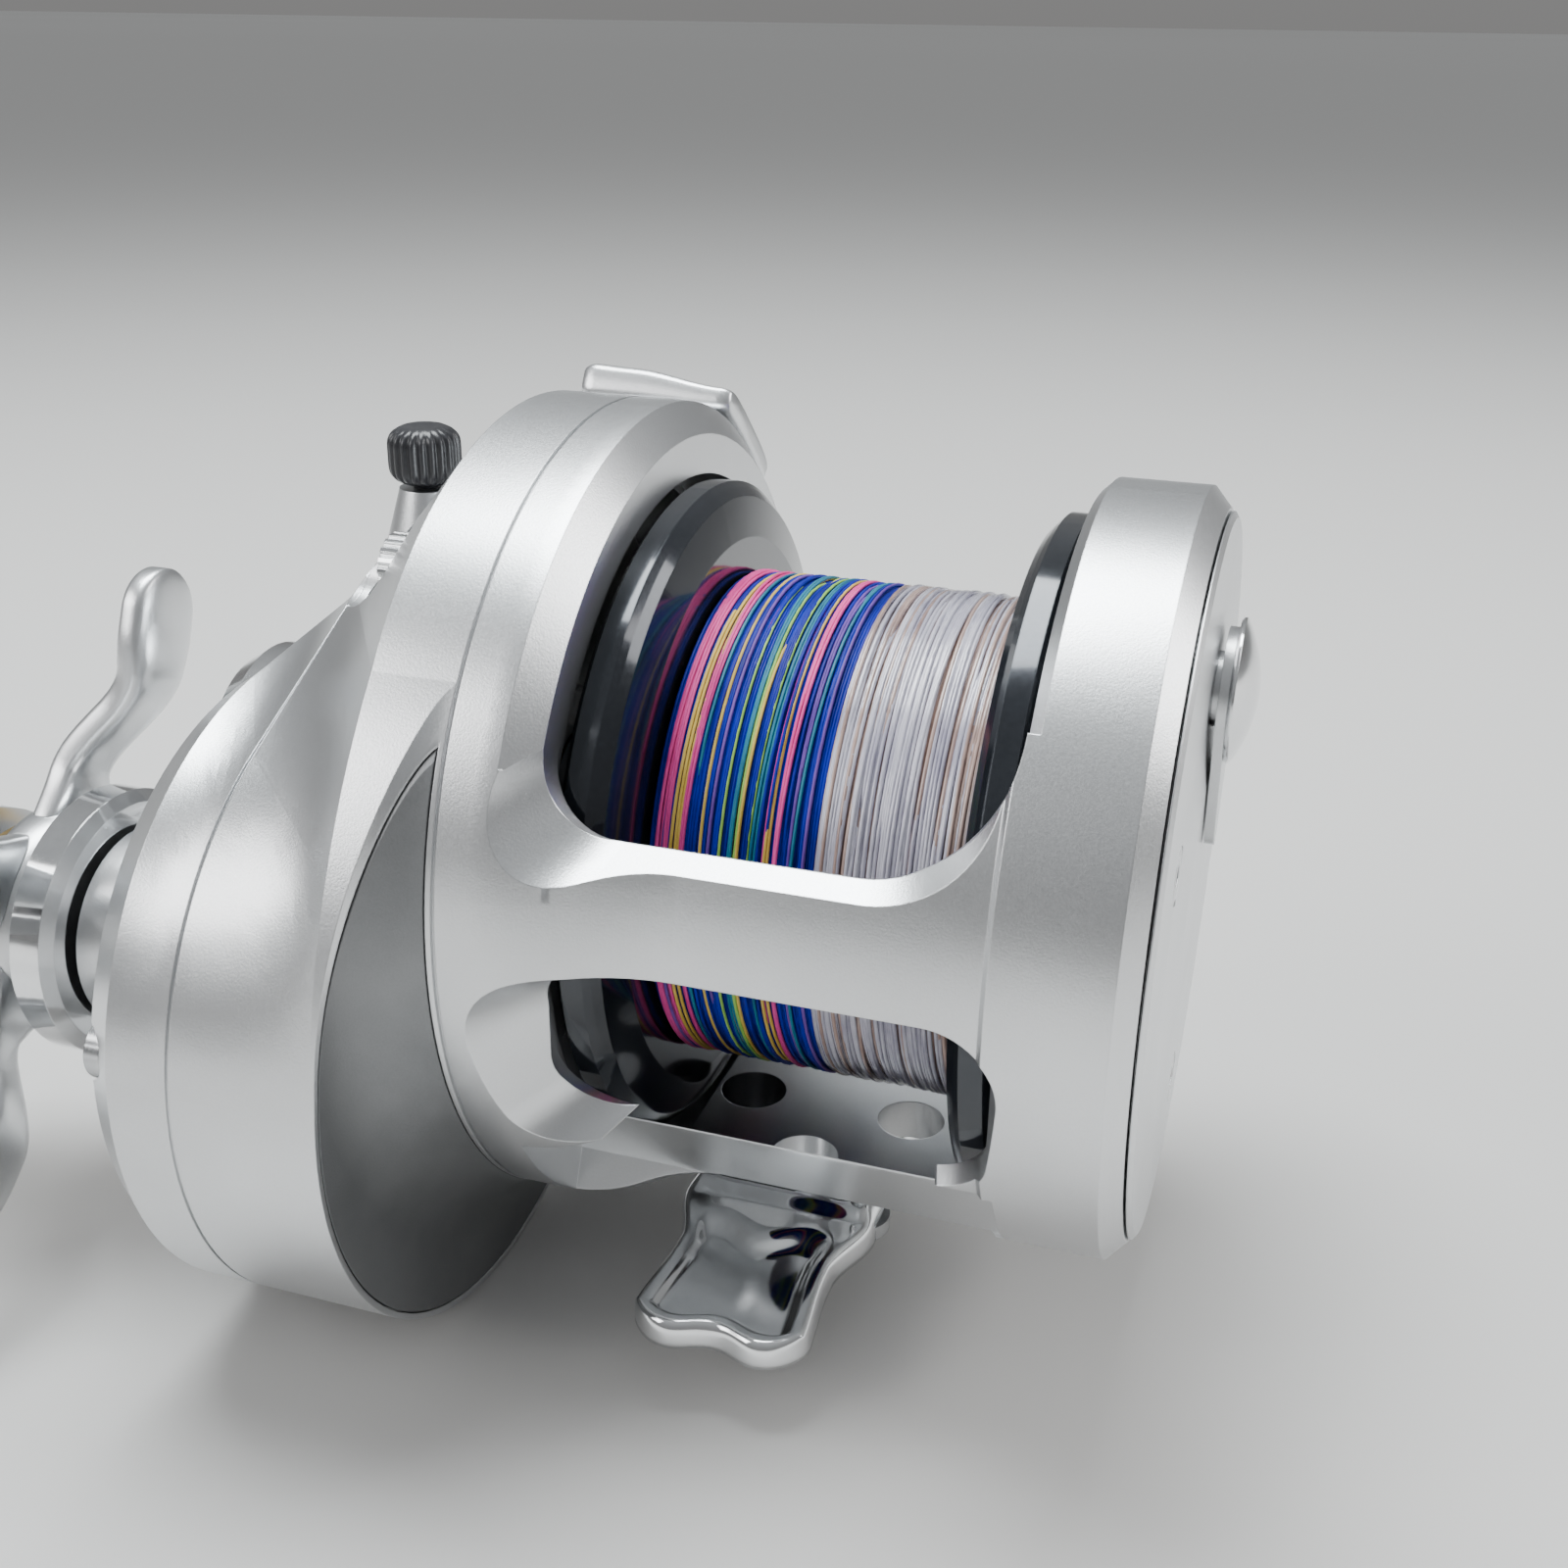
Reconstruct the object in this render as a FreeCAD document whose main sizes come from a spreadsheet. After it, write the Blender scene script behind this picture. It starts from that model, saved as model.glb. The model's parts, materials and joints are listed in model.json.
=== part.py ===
import FreeCAD, Part
import math
import os
import Sketcher

# Overhead star-drag reel. Millimetres, X along the spool axis with the handle on the -X side,
# -Y towards the rod tip, +Z up. The origin is the middle of the foot's seat.
# Every sub-part is drawn about the spool axis (or about the gear shaft) and placed from there.

DIMENSIONS = {
    # where the spool axis lies above and beside the middle of the foot's seat
    "spool_height": 36.5, "spool_offset": 4.8,
    # gear shaft, measured from the spool axis
    "gear_y": -13.7, "gear_z": -14.1,
    # one-piece frame
    "frame_left": -23.0, "frame_right": 25.3, "left_ring_radius": 34.8, "right_ring_radius": 31.5,
    "bar_radius": 31.1, "bar_bore": 29.4, "flange_bore": 28.8, "flare_start": -20.5, "flare_end": -6.0,
    "window_left": -16.9, "window_right": 17.1, "bar_top": 9.4, "bar_bottom": 0.3,
    "low_window_left": -16.9, "low_window_right": 17.1, "low_window_floor": -14.6,
    "window_corner": 5.5, "window_sweep": 11.0, "floor_top": -27.2, "floor_half": 12.8, "boss_face": -33.0,
    "boss_depth": 8.2, "boss_width": 16.5, "drain_radius": 3.0, "drain_pitch": 7.5, "drain_row": 8.3,
    "drain_x": -2.0, "drain_y": -2.4, "screw_pitch": 4.2, "screw_radius": 1.5, "screw_head": 2.7,
    "nose_edge": 26.8, "nose_radius": 29.8, "plate_bore": 28.2,
    # reel foot
    "foot_length": 55.0, "foot_middle": 18.0, "foot_end": 14.6, "foot_thickness": 2.4,
    # handle-side case
    "drum_radius": 28.4, "drum_inner": -29.8, "parting": -42.4, "cover_edge": -47.8, "cover_face": -50.6,
    "ring_edge": -30.2, "cone_slope": 1.05, "sweep_radius": 6.9, "wall": 1.8, "plate_thickness": 0.8,
    "case_floor": -32.4, "flank_radius": 58.7,
    # spool and its shaft
    "flange_radius": 28.4, "flange_face": 16.8, "flange_inner": 12.4, "arbor_radius": 12.0,
    "line_radius": 21.2, "leader_start": 1.0, "shaft_radius": 2.0, "shaft_left": -57.0, "shaft_right": 25.0,
    # gears
    "gear_teeth": 60, "pinion_teeth": 13, "gear_left": -43.0, "gear_right": -39.2, "pinion_bore": 2.1,
    # drive shaft, star drag and handle
    "drive_radius": 4.0, "collar_radius": 9.8, "collar_end": -65.8, "flange_start": -66.6,
    "flange_end": -71.0, "skirt_radius": 12.5, "star_reach": 33.0, "star_face": -76.4, "star_arms": 5,
    "handle_face": -81.4, "handle_length": 85.0, "handle_thickness": 3.4, "knob_length": 38.0,
    "knob_radius": 12.5, "knob_start": -87.4,
    # palm side
    "cap_lip": 27.0, "cap_radius": 29.1, "cap_face": 27.9, "lever_face": 28.05, "lever_reach": 16.0,
    "dome_radius": 5.8,
}


class Size:
    """A length that knows its number and the sheet expression that it comes from."""

    def __init__(self, number, text=None):
        self.number = number
        self.text = text or repr(number)

    @staticmethod
    def of(value):
        return value if isinstance(value, Size) else Size(float(value))

    def __add__(self, other):
        other = Size.of(other)
        return Size(self.number + other.number, f"({self.text} + {other.text})")

    def __sub__(self, other):
        other = Size.of(other)
        return Size(self.number - other.number, f"({self.text} - {other.text})")

    def __mul__(self, other):
        other = Size.of(other)
        return Size(self.number * other.number, f"({self.text} * {other.text})")

    def __truediv__(self, other):
        other = Size.of(other)
        return Size(self.number / other.number, f"({self.text} / {other.text})")

    def __neg__(self):
        return Size(-self.number, f"(0 - {self.text})")

    def __radd__(self, other):
        return Size.of(other) + self

    def __rsub__(self, other):
        return Size.of(other) - self

    def __rmul__(self, other):
        return Size.of(other) * self

    def __float__(self):
        return self.number


doc = FreeCAD.newDocument("reel")
sheet = doc.addObject("Spreadsheet::Sheet", "Sizes")
for row, (name, value) in enumerate(DIMENSIONS.items(), start=1):
    sheet.set(f"A{row}", name)
    sheet.set(f"B{row}", str(value))
    sheet.setAlias(f"B{row}", name)
doc.recompute()
D = {name: Size(float(sheet.get(name)), f"Sizes.{name}") for name in DIMENSIONS}
SUBPARTS = []


def place(part, x=0.0, y=0.0, z=0.0, rotation=None):
    """Put a sub-part, drawn about the spool axis, over the foot's seat."""
    part.Placement = FreeCAD.Placement(FreeCAD.Vector(0, 0, 0), rotation or FreeCAD.Rotation())
    shift = (D["spool_offset"] + x, Size.of(y), D["spool_height"] + z)
    for axis, amount in zip("xyz", shift):
        part.setExpression(f".Placement.Base.{axis}", amount.text)
    SUBPARTS.append(part)


def new_body(label):
    body = doc.addObject("PartDesign::Body", label)
    body.Label = label
    return body


def plane(body, role):
    return next(item for item in body.Origin.OriginFeatures if item.Role == role)


def arc_between(start, end, radius, turn):
    """Minor arc from start to end; turn is 1 anticlockwise and -1 clockwise."""
    middle = (start + end) * 0.5
    chord = end - start
    across = FreeCAD.Vector(-chord.y, chord.x, 0).normalize()
    centre = middle + across * (turn * math.sqrt(max(radius ** 2 - (chord.Length / 2) ** 2, 0.0)))
    first, last = (start, end) if turn > 0 else (end, start)
    angles = [math.atan2(point.y - centre.y, point.x - centre.x) for point in (first, last)]
    return Part.ArcOfCircle(Part.Circle(centre, FreeCAD.Vector(0, 0, 1), radius), *angles)


def outline(body, role, corners, offset=0.0):
    """Closed sketch on one of the body's planes.

    A corner is (u, v), or (u, v, radius, turn) where an arc leads on to the next corner.
    """
    sketch = body.newObject("Sketcher::SketchObject", "Sketch")
    sketch.AttachmentSupport = [(plane(body, role), "")]
    sketch.MapMode = "FlatFace"
    if float(offset):
        sketch.setExpression(".AttachmentOffset.Base.z", Size.of(offset).text)
    points = [FreeCAD.Vector(float(corner[0]), float(corner[1]), 0) for corner in corners]
    shapes, ends = [], []
    for index, corner in enumerate(corners):
        start, end = points[index], points[(index + 1) % len(points)]
        if len(corner) == 2:
            shapes.append(Part.LineSegment(start, end))
            ends.append((1, 2))
        else:
            shapes.append(arc_between(start, end, float(corner[2]), corner[3]))
            ends.append((1, 2) if corner[3] > 0 else (2, 1))
    sketch.addGeometry(shapes, False)
    rules, bound = [], []
    for index, corner in enumerate(corners):
        following = (index + 1) % len(corners)
        rules.append(Sketcher.Constraint("Coincident", index, ends[index][1], following, ends[following][0]))
        for kind, amount in zip(("DistanceX", "DistanceY"), corner[:2]):
            bound.append((len(rules), Size.of(amount)))
            rules.append(Sketcher.Constraint(kind, -1, 1, index, ends[index][0], float(amount)))
        if len(corner) > 2:
            bound.append((len(rules), Size.of(corner[2])))
            rules.append(Sketcher.Constraint("Radius", index, float(corner[2])))
    sketch.addConstraint(rules)
    for number, amount in bound:
        if "Sizes." in amount.text:
            sketch.setExpression(f"Constraints[{number}]", amount.text)
    return sketch


def revolve(body, corners, kind="PartDesign::Revolution", angle=360.0, midplane=False):
    """Turn an (axial, radial) outline about the body's X axis."""
    sketch = outline(body, "XZ_Plane", corners)
    feature = body.newObject(kind, "Turned")
    feature.Profile = sketch
    feature.ReferenceAxis = (sketch, ["H_Axis"])
    feature.Angle = angle
    feature.Midplane = midplane
    sketch.Visibility = False
    return feature


def cut_through(body, role, corners):
    """Cut an outline right through the body, both ways from one of its planes."""
    sketch = outline(body, role, corners)
    pocket = body.newObject("PartDesign::Pocket", "Cut")
    pocket.Profile = sketch
    pocket.Type = "ThroughAll"
    pocket.Midplane = True
    return pocket


def rounded(low_u, high_u, low_v, high_v, radius):
    """Corners of a rounded rectangle, anticlockwise."""
    return [
        (low_u + radius, low_v), (high_u - radius, low_v, radius, 1),
        (high_u, low_v + radius), (high_u, high_v - radius, radius, 1),
        (high_u - radius, high_v), (low_u + radius, high_v, radius, 1),
        (low_u, high_v - radius), (low_u, low_v + radius, radius, 1),
    ]


ALONG_X = FreeCAD.Rotation(FreeCAD.Vector(1, 1, 1), 120)
GEAR = {"y": D["gear_y"], "z": D["gear_z"]}


def pad(body, role, corners, low, high, kind="PartDesign::Pad"):
    """Solid (or pocket) of an outline between two levels of the plane's own normal."""
    sketch = outline(body, role, corners, offset=low)
    feature = body.newObject(kind, "Block")
    feature.Profile = sketch
    if kind == "PartDesign::Pocket":
        feature.Reversed = True
    feature.setExpression("Length", (Size.of(high) - Size.of(low)).text)
    sketch.Visibility = False
    return feature


def drill(body, role, centres, radius, low, high, kind="PartDesign::Pocket"):
    """Round holes (or posts) between two levels of the plane's own normal."""
    sketch = body.newObject("Sketcher::SketchObject", "Circles")
    sketch.AttachmentSupport = [(plane(body, role), "")]
    sketch.MapMode = "FlatFace"
    sketch.setExpression(".AttachmentOffset.Base.z", Size.of(low).text)
    for index, centre in enumerate(centres):
        amounts = [Size.of(amount) for amount in (*centre, radius)]
        point = FreeCAD.Vector(float(amounts[0]), float(amounts[1]), 0)
        sketch.addGeometry(Part.Circle(point, FreeCAD.Vector(0, 0, 1), float(radius)), False)
        sketch.addConstraint([
            Sketcher.Constraint("DistanceX", -1, 1, index, 3, float(amounts[0])),
            Sketcher.Constraint("DistanceY", -1, 1, index, 3, float(amounts[1])),
            Sketcher.Constraint("Radius", index, float(amounts[2])),
        ])
        for number, amount in enumerate(amounts):
            if "Sizes." in amount.text:
                sketch.setExpression(f"Constraints[{3 * index + number}]", amount.text)
    feature = body.newObject(kind, "Holes")
    feature.Profile = sketch
    if kind == "PartDesign::Pocket":
        feature.Reversed = True
    feature.setExpression("Length", (Size.of(high) - Size.of(low)).text)
    sketch.Visibility = False
    return feature


def hull(first, second, grow=0.0):
    """Corners of the belt round two circles, each (u, v, radius)."""
    (u1, v1, r1), (u2, v2, r2) = [tuple(Size.of(value) for value in ring) for ring in (first, second)]
    r1, r2 = r1 + grow, r2 + grow
    du, dv = float(u2 - u1), float(v2 - v1)
    lean = math.atan2(dv, du)
    swing = math.acos(float(r1 - r2) / math.hypot(du, dv))
    up = (math.cos(lean + swing), math.sin(lean + swing))
    down = (math.cos(lean - swing), math.sin(lean - swing))
    ahead = (math.cos(lean), math.sin(lean))
    return [
        (u2 + r2 * up[0], v2 + r2 * up[1]), (u1 + r1 * up[0], v1 + r1 * up[1], r1, 1),
        (u1 - r1 * ahead[0], v1 - r1 * ahead[1], r1, 1), (u1 + r1 * down[0], v1 + r1 * down[1]),
        (u2 + r2 * down[0], v2 + r2 * down[1], r2, 1), (u2 + r2 * ahead[0], v2 + r2 * ahead[1], r2, 1),
    ]


def turned(label, corners, **where):
    """A sub-part that is one turned shape."""
    body = new_body(label)
    revolve(body, corners)
    place(body, **where)
    return body


def tube(low, high, inner, outer, edge=0.0):
    """Corners of a plain or edge-broken tube section; inner 0 makes a rod."""
    low, high, inner, outer = [Size.of(value) for value in (low, high, inner, outer)]
    if not edge:
        return [(low, inner), (high, inner), (high, outer), (low, outer)]
    return [
        (low, inner), (high, inner), (high, outer - edge), (high - edge, outer),
        (low + edge, outer), (low, outer - edge),
    ]


def bevel(body, role, near, far, near_level, far_level):
    """Cut away between a near outline and a larger far one."""
    sections = [outline(body, role, near, offset=near_level), outline(body, role, far, offset=far_level)]
    loft = body.newObject("PartDesign::SubtractiveLoft", "Bevel")
    loft.Profile = sections[0]
    loft.Sections = [sections[1]]
    loft.Ruled = True
    return loft


def window_outline(left, floor, right, corner, sweep, top):
    return [
        (left, top), (left, floor + corner, corner, 1), (left + corner, floor),
        (right - sweep, floor, sweep, 1), (right, floor + sweep), (right, top),
    ]


def make_frame():
    body = new_body("frame")
    drop = D["left_ring_radius"] - D["bar_radius"]
    run = D["flare_end"] - D["flare_start"]
    flare = (run * run + drop * drop) / (4 * drop)
    middle = (D["flare_start"] + run / 2, D["bar_radius"] + drop / 2)
    step = D["window_right"] - 0.8
    seat = D["window_right"] + 5
    revolve(body, [
        (D["frame_left"], D["flange_bore"]), (D["frame_left"], D["left_ring_radius"]),
        (D["flare_start"], D["left_ring_radius"], flare, -1), (*middle, flare, 1),
        (D["flare_end"], D["bar_radius"]), (step, D["bar_radius"]),
        (step + 0.4, D["right_ring_radius"]), (D["frame_right"], D["right_ring_radius"]),
        (D["nose_edge"], D["nose_radius"]), (D["nose_edge"], D["plate_bore"]),
        (seat, D["plate_bore"]), (seat, D["flange_bore"]),
        (D["window_right"], D["flange_bore"]), (D["window_right"], D["bar_bore"]),
        (D["window_left"], D["bar_bore"]), (D["window_left"], D["flange_bore"]),
    ])
    corner, sweep = D["window_corner"], D["window_sweep"]
    above = D["left_ring_radius"] + 5
    cut_through(body, "XZ_Plane", window_outline(
        D["window_left"], D["bar_top"], D["window_right"], corner, sweep, above))
    cut_through(body, "XZ_Plane", rounded(
        D["low_window_left"], D["low_window_right"], D["low_window_floor"], D["bar_bottom"], corner))
    floor = D["floor_top"]
    reach = D["bar_bore"] + 0.6
    half = Size.of(math.sqrt(float(reach) ** 2 - float(floor) ** 2))
    pad(body, "YZ_Plane", [(-half, floor, reach, 1), (half, floor)], -D["floor_half"], D["floor_half"])
    mid = Size.of(0) - D["spool_offset"]
    pad(body, "XY_Plane", rounded(
        mid - D["boss_width"] / 2, mid + D["boss_width"] / 2, -D["boss_depth"], D["boss_depth"], Size.of(3)),
        D["boss_face"], floor - 2)
    # bright bevels round the upper window: near and far outlines at two depths, front and rear
    near_y, far_y = 24.0, 34.0
    for side in (1, -1):
        near = window_outline(D["window_left"] + 2.4, D["bar_top"] + 1.85, D["window_right"] - 0.7,
                              corner, sweep, above)
        far = window_outline(D["window_left"] - 3.6, D["bar_top"] - 2.95, D["window_right"] + 3.3,
                             corner + 2, sweep + 1, above)
        bevel(body, "XZ_Plane", near, far, side * near_y, side * far_y)
    left, right = D["window_left"], D["window_right"]
    for angle, corners in (
            (128.0, [(left + 1, 30.9), (left + 1, 38), (left - 4.6, 38)]),
            (100.0, [(right - 1, 29.6), (right - 1, 33), (right + 2.4, 33)])):
        revolve(body, corners, kind="PartDesign::Groove", angle=angle, midplane=True)
    # low window: bevelled left and right ends
    for side in (1, -1):
        near = rounded(D["low_window_left"] + 3.2, D["low_window_right"] - 1.6,
                       D["low_window_floor"], D["bar_bottom"], corner - 1)
        far = rounded(D["low_window_left"] - 4.8, D["low_window_right"] + 2.4,
                      D["low_window_floor"] - 6, D["bar_bottom"], corner + 1)
        bevel(body, "XZ_Plane", near, far, side * 25.0, side * 35.0)
    # flat facet along the front and rear of the floor
    for side in (1, -1):
        pad(body, "YZ_Plane", [
            (-25.5 * side, D["low_window_floor"]), (-19.1 * side, -24.7), (-24 * side, -36), (-38 * side, -22),
        ], D["low_window_left"] - 2.4, D["low_window_right"] + 0.4, kind="PartDesign::Pocket")
    holes = [(D["drain_x"] + step_x * D["drain_pitch"], D["drain_y"] + step_y * D["drain_row"])
             for step_x, step_y in ((-1, 0), (1, 0), (0, 1), (0, -1))]
    drill(body, "XY_Plane", holes, D["drain_radius"], -40, -24)
    drill(body, "XY_Plane", foot_screw_places(), D["screw_radius"], -40, -28.4)
    place(body)
    return body


def foot_screw_places():
    return [(D["drain_x"] + a * D["screw_pitch"], D["drain_y"] + b * D["screw_pitch"])
            for a in (-1, 1) for b in (-1, 1)]


def feature(label, shape, **where):
    """A sub-part whose shape is worked out with Part functions."""
    part = doc.addObject("Part::Feature", label)
    part.Label = label
    part.Shape = shape if shape.Placement.isIdentity() else Part.makeCompound([shape])
    place(part, **where)
    return part


def wire_of(corners, x):
    """Wire in the plane square to X at x, from corners written as for outline()."""
    points = [FreeCAD.Vector(float(corner[0]), float(corner[1]), 0) for corner in corners]
    edges = []
    for index, corner in enumerate(corners):
        start, end = points[index], points[(index + 1) % len(points)]
        if len(corner) == 2:
            edges.append(Part.makeLine(start, end))
        else:
            edges.append(arc_between(start, end, float(corner[2]), corner[3]).toShape())
    wire = Part.Wire(Part.__sortEdges__(edges))
    wire.Placement = FreeCAD.Placement(FreeCAD.Vector(float(x), 0, 0), ALONG_X)
    return wire


def slab(corners, low, high):
    """Solid between two planes square to X."""
    length = float(high) - float(low)
    return Part.Face(wire_of(corners, low)).extrude(FreeCAD.Vector(length, 0, 0))


def loft_between(first, low, second, high):
    return Part.makeLoft([wire_of(first, low), wire_of(second, high)], True, True)


def rod(low, high, radius, y=0.0, z=0.0):
    """Cylinder along X."""
    start = FreeCAD.Vector(float(low), float(y), float(z))
    return Part.makeCylinder(float(radius), float(high) - float(low), start, FreeCAD.Vector(1, 0, 0))


def spin(corners):
    """Solid of an (axial, radial) outline turned about the spool axis."""
    points = [FreeCAD.Vector(float(corner[0]), float(corner[1]), 0) for corner in corners]
    edges = []
    for index, corner in enumerate(corners):
        start, end = points[index], points[(index + 1) % len(points)]
        if len(corner) == 2:
            edges.append(Part.makeLine(start, end))
        else:
            edges.append(arc_between(start, end, float(corner[2]), corner[3]).toShape())
    face = Part.Face(Part.Wire(Part.__sortEdges__(edges)))
    return face.revolve(FreeCAD.Vector(0, 0, 0), FreeCAD.Vector(1, 0, 0), 360)


def cone_at(x):
    """Radius of the case's cone about the spool axis."""
    return D["left_ring_radius"] - (D["ring_edge"] - x) * D["cone_slope"]


def case_hull(x, grow=0.0, drum=None):
    drum = drum or D["drum_radius"]
    return hull((D["gear_y"], D["gear_z"], drum + grow), (0.0, 0.0, cone_at(x) + grow))


FLANK_END = math.radians(172.9)
FLANK_MIDDLE = math.radians(154.9)


def drum_point(radius):
    """Where the drum takes over from the flank on the front of the case."""
    return D["gear_y"] + radius * math.cos(FLANK_END), D["gear_z"] + radius * math.sin(FLANK_END)


def case_front(grow=0.0):
    """Corners of the case where it meets the throat: ring, bulging front flank, drum, straight bottom."""
    ring, drum, flank = [D[name] + grow for name in ("left_ring_radius", "drum_radius", "flank_radius")]
    u, v = [float(value) for value in drum_point(D["drum_radius"] - D["flank_radius"])]
    span = math.hypot(u, v)
    along = (float(ring) ** 2 - float(flank) ** 2 + span ** 2) / (2 * span)
    across = math.sqrt(float(ring) ** 2 - along ** 2)
    tip = ((u * along + v * across) / span, (v * along - u * across) / span)
    middle = (u + float(flank) * math.cos(FLANK_MIDDLE), v + float(flank) * math.sin(FLANK_MIDDLE))
    belt = hull((D["gear_y"], D["gear_z"], drum), (0.0, 0.0, ring))
    return [(*tip, flank, 1), (*middle, flank, 1), (*drum_point(drum), drum, 1), *belt[2:]]


def parting_outline():
    """The case's outline at the parting, cornered to match case_front()."""
    belt = case_hull(D["parting"])
    return [*belt[:2], (*drum_point(D["drum_radius"]), D["drum_radius"], 1), *belt[2:]]


def parting_groove():
    """Fine groove that follows the joint between the case and its cover."""
    low, high = D["parting"] - 0.15, D["parting"] + 0.15
    return slab(case_hull(D["parting"], 1.0), low, high).cut(slab(case_hull(D["parting"], -0.25), low, high))


def swept_air(depth=0.0):
    """The space outside the curved throat between the frame's ring and the drum's inner face."""
    face, radius = D["drum_inner"] - depth, D["sweep_radius"]
    inner = D["left_ring_radius"] - depth
    return spin([
        (D["frame_left"] + 2, inner), (D["frame_left"] + 2, 60.0), (face, 60.0), (face, inner + radius, radius, 1),
        (face + radius, inner),
    ])


def case_screw_places():
    reach = D["drum_radius"] - 3.4
    gear = [(D["gear_y"] + float(reach) * math.cos(angle), D["gear_z"] + float(reach) * math.sin(angle))
            for angle in map(math.radians, (170.0, 245.0, 320.0))]
    return gear + [(Size.of(8.0), Size.of(-12.0))]


TAKEDOWN = (-11.0, 22.4)
CLICK = {"x": -45.5, "y": 8.5, "z": 14.0}


def click_cone(gap=0.0):
    """Conical boss that carries the click knob."""
    foot = FreeCAD.Vector(CLICK["x"], CLICK["y"], CLICK["z"] - gap)
    return Part.makeCone(5.4 + gap, 2.5 + gap, 9.9 + gap, foot)


def make_case():
    """Inner shell: ring seat, cone, drum wall and the gearbox cavity."""
    ring = slab(case_front(), D["ring_edge"], D["frame_left"])
    drum = loft_between(parting_outline(), D["parting"], case_front(), D["ring_edge"])
    shell = ring.fuse(drum).cut(swept_air())
    hollow = loft_between(case_hull(D["parting"], -D["wall"]), D["parting"] - 1,
                          case_hull(D["case_floor"], -D["wall"] - 1), D["case_floor"])
    recess = spin([(D["case_floor"] + 1.8, Size.of(9)), (D["frame_left"] + 1, Size.of(9)),
                   (D["frame_left"] + 1, Size.of(28)), (D["case_floor"] + 1.8, Size.of(28))])
    inlay = swept_air(D["plate_thickness"]).common(
        slab(case_front(-0.5), D["parting"], D["frame_left"] - 0.7))
    inlay = inlay.cut(rod(D["parting"], D["frame_left"] + 4, D["left_ring_radius"] - 0.45))
    shell = shell.cut(hollow).cut(recess).cut(inlay)
    boss = rod(D["case_floor"] - 4, D["case_floor"], 7, D["gear_y"], D["gear_z"])
    shell = shell.fuse(boss)
    shell = shell.cut(rod(D["case_floor"] - 5, D["case_floor"] - 0.4, 5.0, D["gear_y"], D["gear_z"]))
    shell = shell.cut(rod(D["case_floor"] - 5, D["frame_left"] + 1, 5.4))
    shell = shell.cut(rod(D["frame_left"] - 4.4, D["frame_left"] + 1, 9.5))
    for y, z in case_screw_places():
        shell = shell.fuse(rod(D["parting"], D["case_floor"] + 0.2, 2.6, y, z))
    for y, z in case_screw_places():
        shell = shell.cut(rod(D["parting"] - 1, D["parting"] + 8, 1.25, y, z))
    # slot for the clutch lever's arm, behind the top of the ring
    shell = shell.cut(Part.makeBox(2.2, 19, 19, FreeCAD.Vector(-34.1, 12.0, 14.0)))
    # notch and thread for the take-down screw
    shell = shell.cut(rod(D["parting"] - 1, -34.0, 3.7, *TAKEDOWN)).cut(rod(-35, -31, 1.25, *TAKEDOWN))
    seam = ring_of(float(D["frame_left"]) - 0.3, float(D["frame_left"]) + 0.1, 34.5, 36.0)
    shell = shell.cut(click_cone(0.1)).cut(seam).cut(parting_groove())
    feature("handle_side_case", shell.removeSplitter())


def make_plate():
    air = swept_air()
    body = swept_air(D["plate_thickness"]).cut(air)
    body = body.common(slab(case_front(-0.65), D["parting"], D["frame_left"] - 0.85))
    body = body.cut(rod(D["parting"], D["frame_left"] + 4, D["left_ring_radius"] - 0.3))
    feature("gear_case_plate", body.removeSplitter())


def make_cover():
    """Outer shell, over the gears."""
    edge = D["cover_edge"]
    outer = loft_between(case_hull(edge), edge, case_hull(D["parting"]), D["parting"])
    nose = loft_between(case_hull(D["cover_face"], -0.4, D["drum_radius"] - 1.6), D["cover_face"],
                        case_hull(edge), edge)
    shell = outer.fuse(nose)
    hollow = loft_between(case_hull(D["cover_face"] + 1.8, -D["wall"] - 0.4, D["drum_radius"] - 0.6),
                          D["cover_face"] + 1.8, case_hull(D["parting"], -D["wall"]), D["parting"] + 0.5)
    shell = shell.cut(hollow)
    shell = shell.fuse(rod(D["cover_face"] + 1, D["cover_face"] + 5.6, 6.8))
    shell = shell.cut(rod(D["cover_face"] + 1.8, D["cover_face"] + 6, 5.5))
    shell = shell.cut(rod(D["cover_face"] - 1, D["cover_face"] + 3, 4.4))
    shell = shell.cut(rod(D["cover_face"] - 1, D["cover_face"] + 3, 9.2, D["gear_y"], D["gear_z"]))
    for y, z in case_screw_places():
        post = rod(D["cover_face"] + 1, D["parting"], 2.6, y, z)
        shell = shell.fuse(post).cut(rod(D["cover_face"] - 1, D["parting"] + 1, 1.55, y, z))
        shell = shell.cut(rod(D["cover_face"] - 1, D["cover_face"] + 1.6, 2.7, y, z))
    shell = shell.cut(rod(D["parting"] - 2.0, D["parting"] + 1, 3.7, *TAKEDOWN))
    shell = shell.cut(click_cone(0.1)).cut(parting_groove())
    feature("handle_side_cover", shell.removeSplitter())


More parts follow.
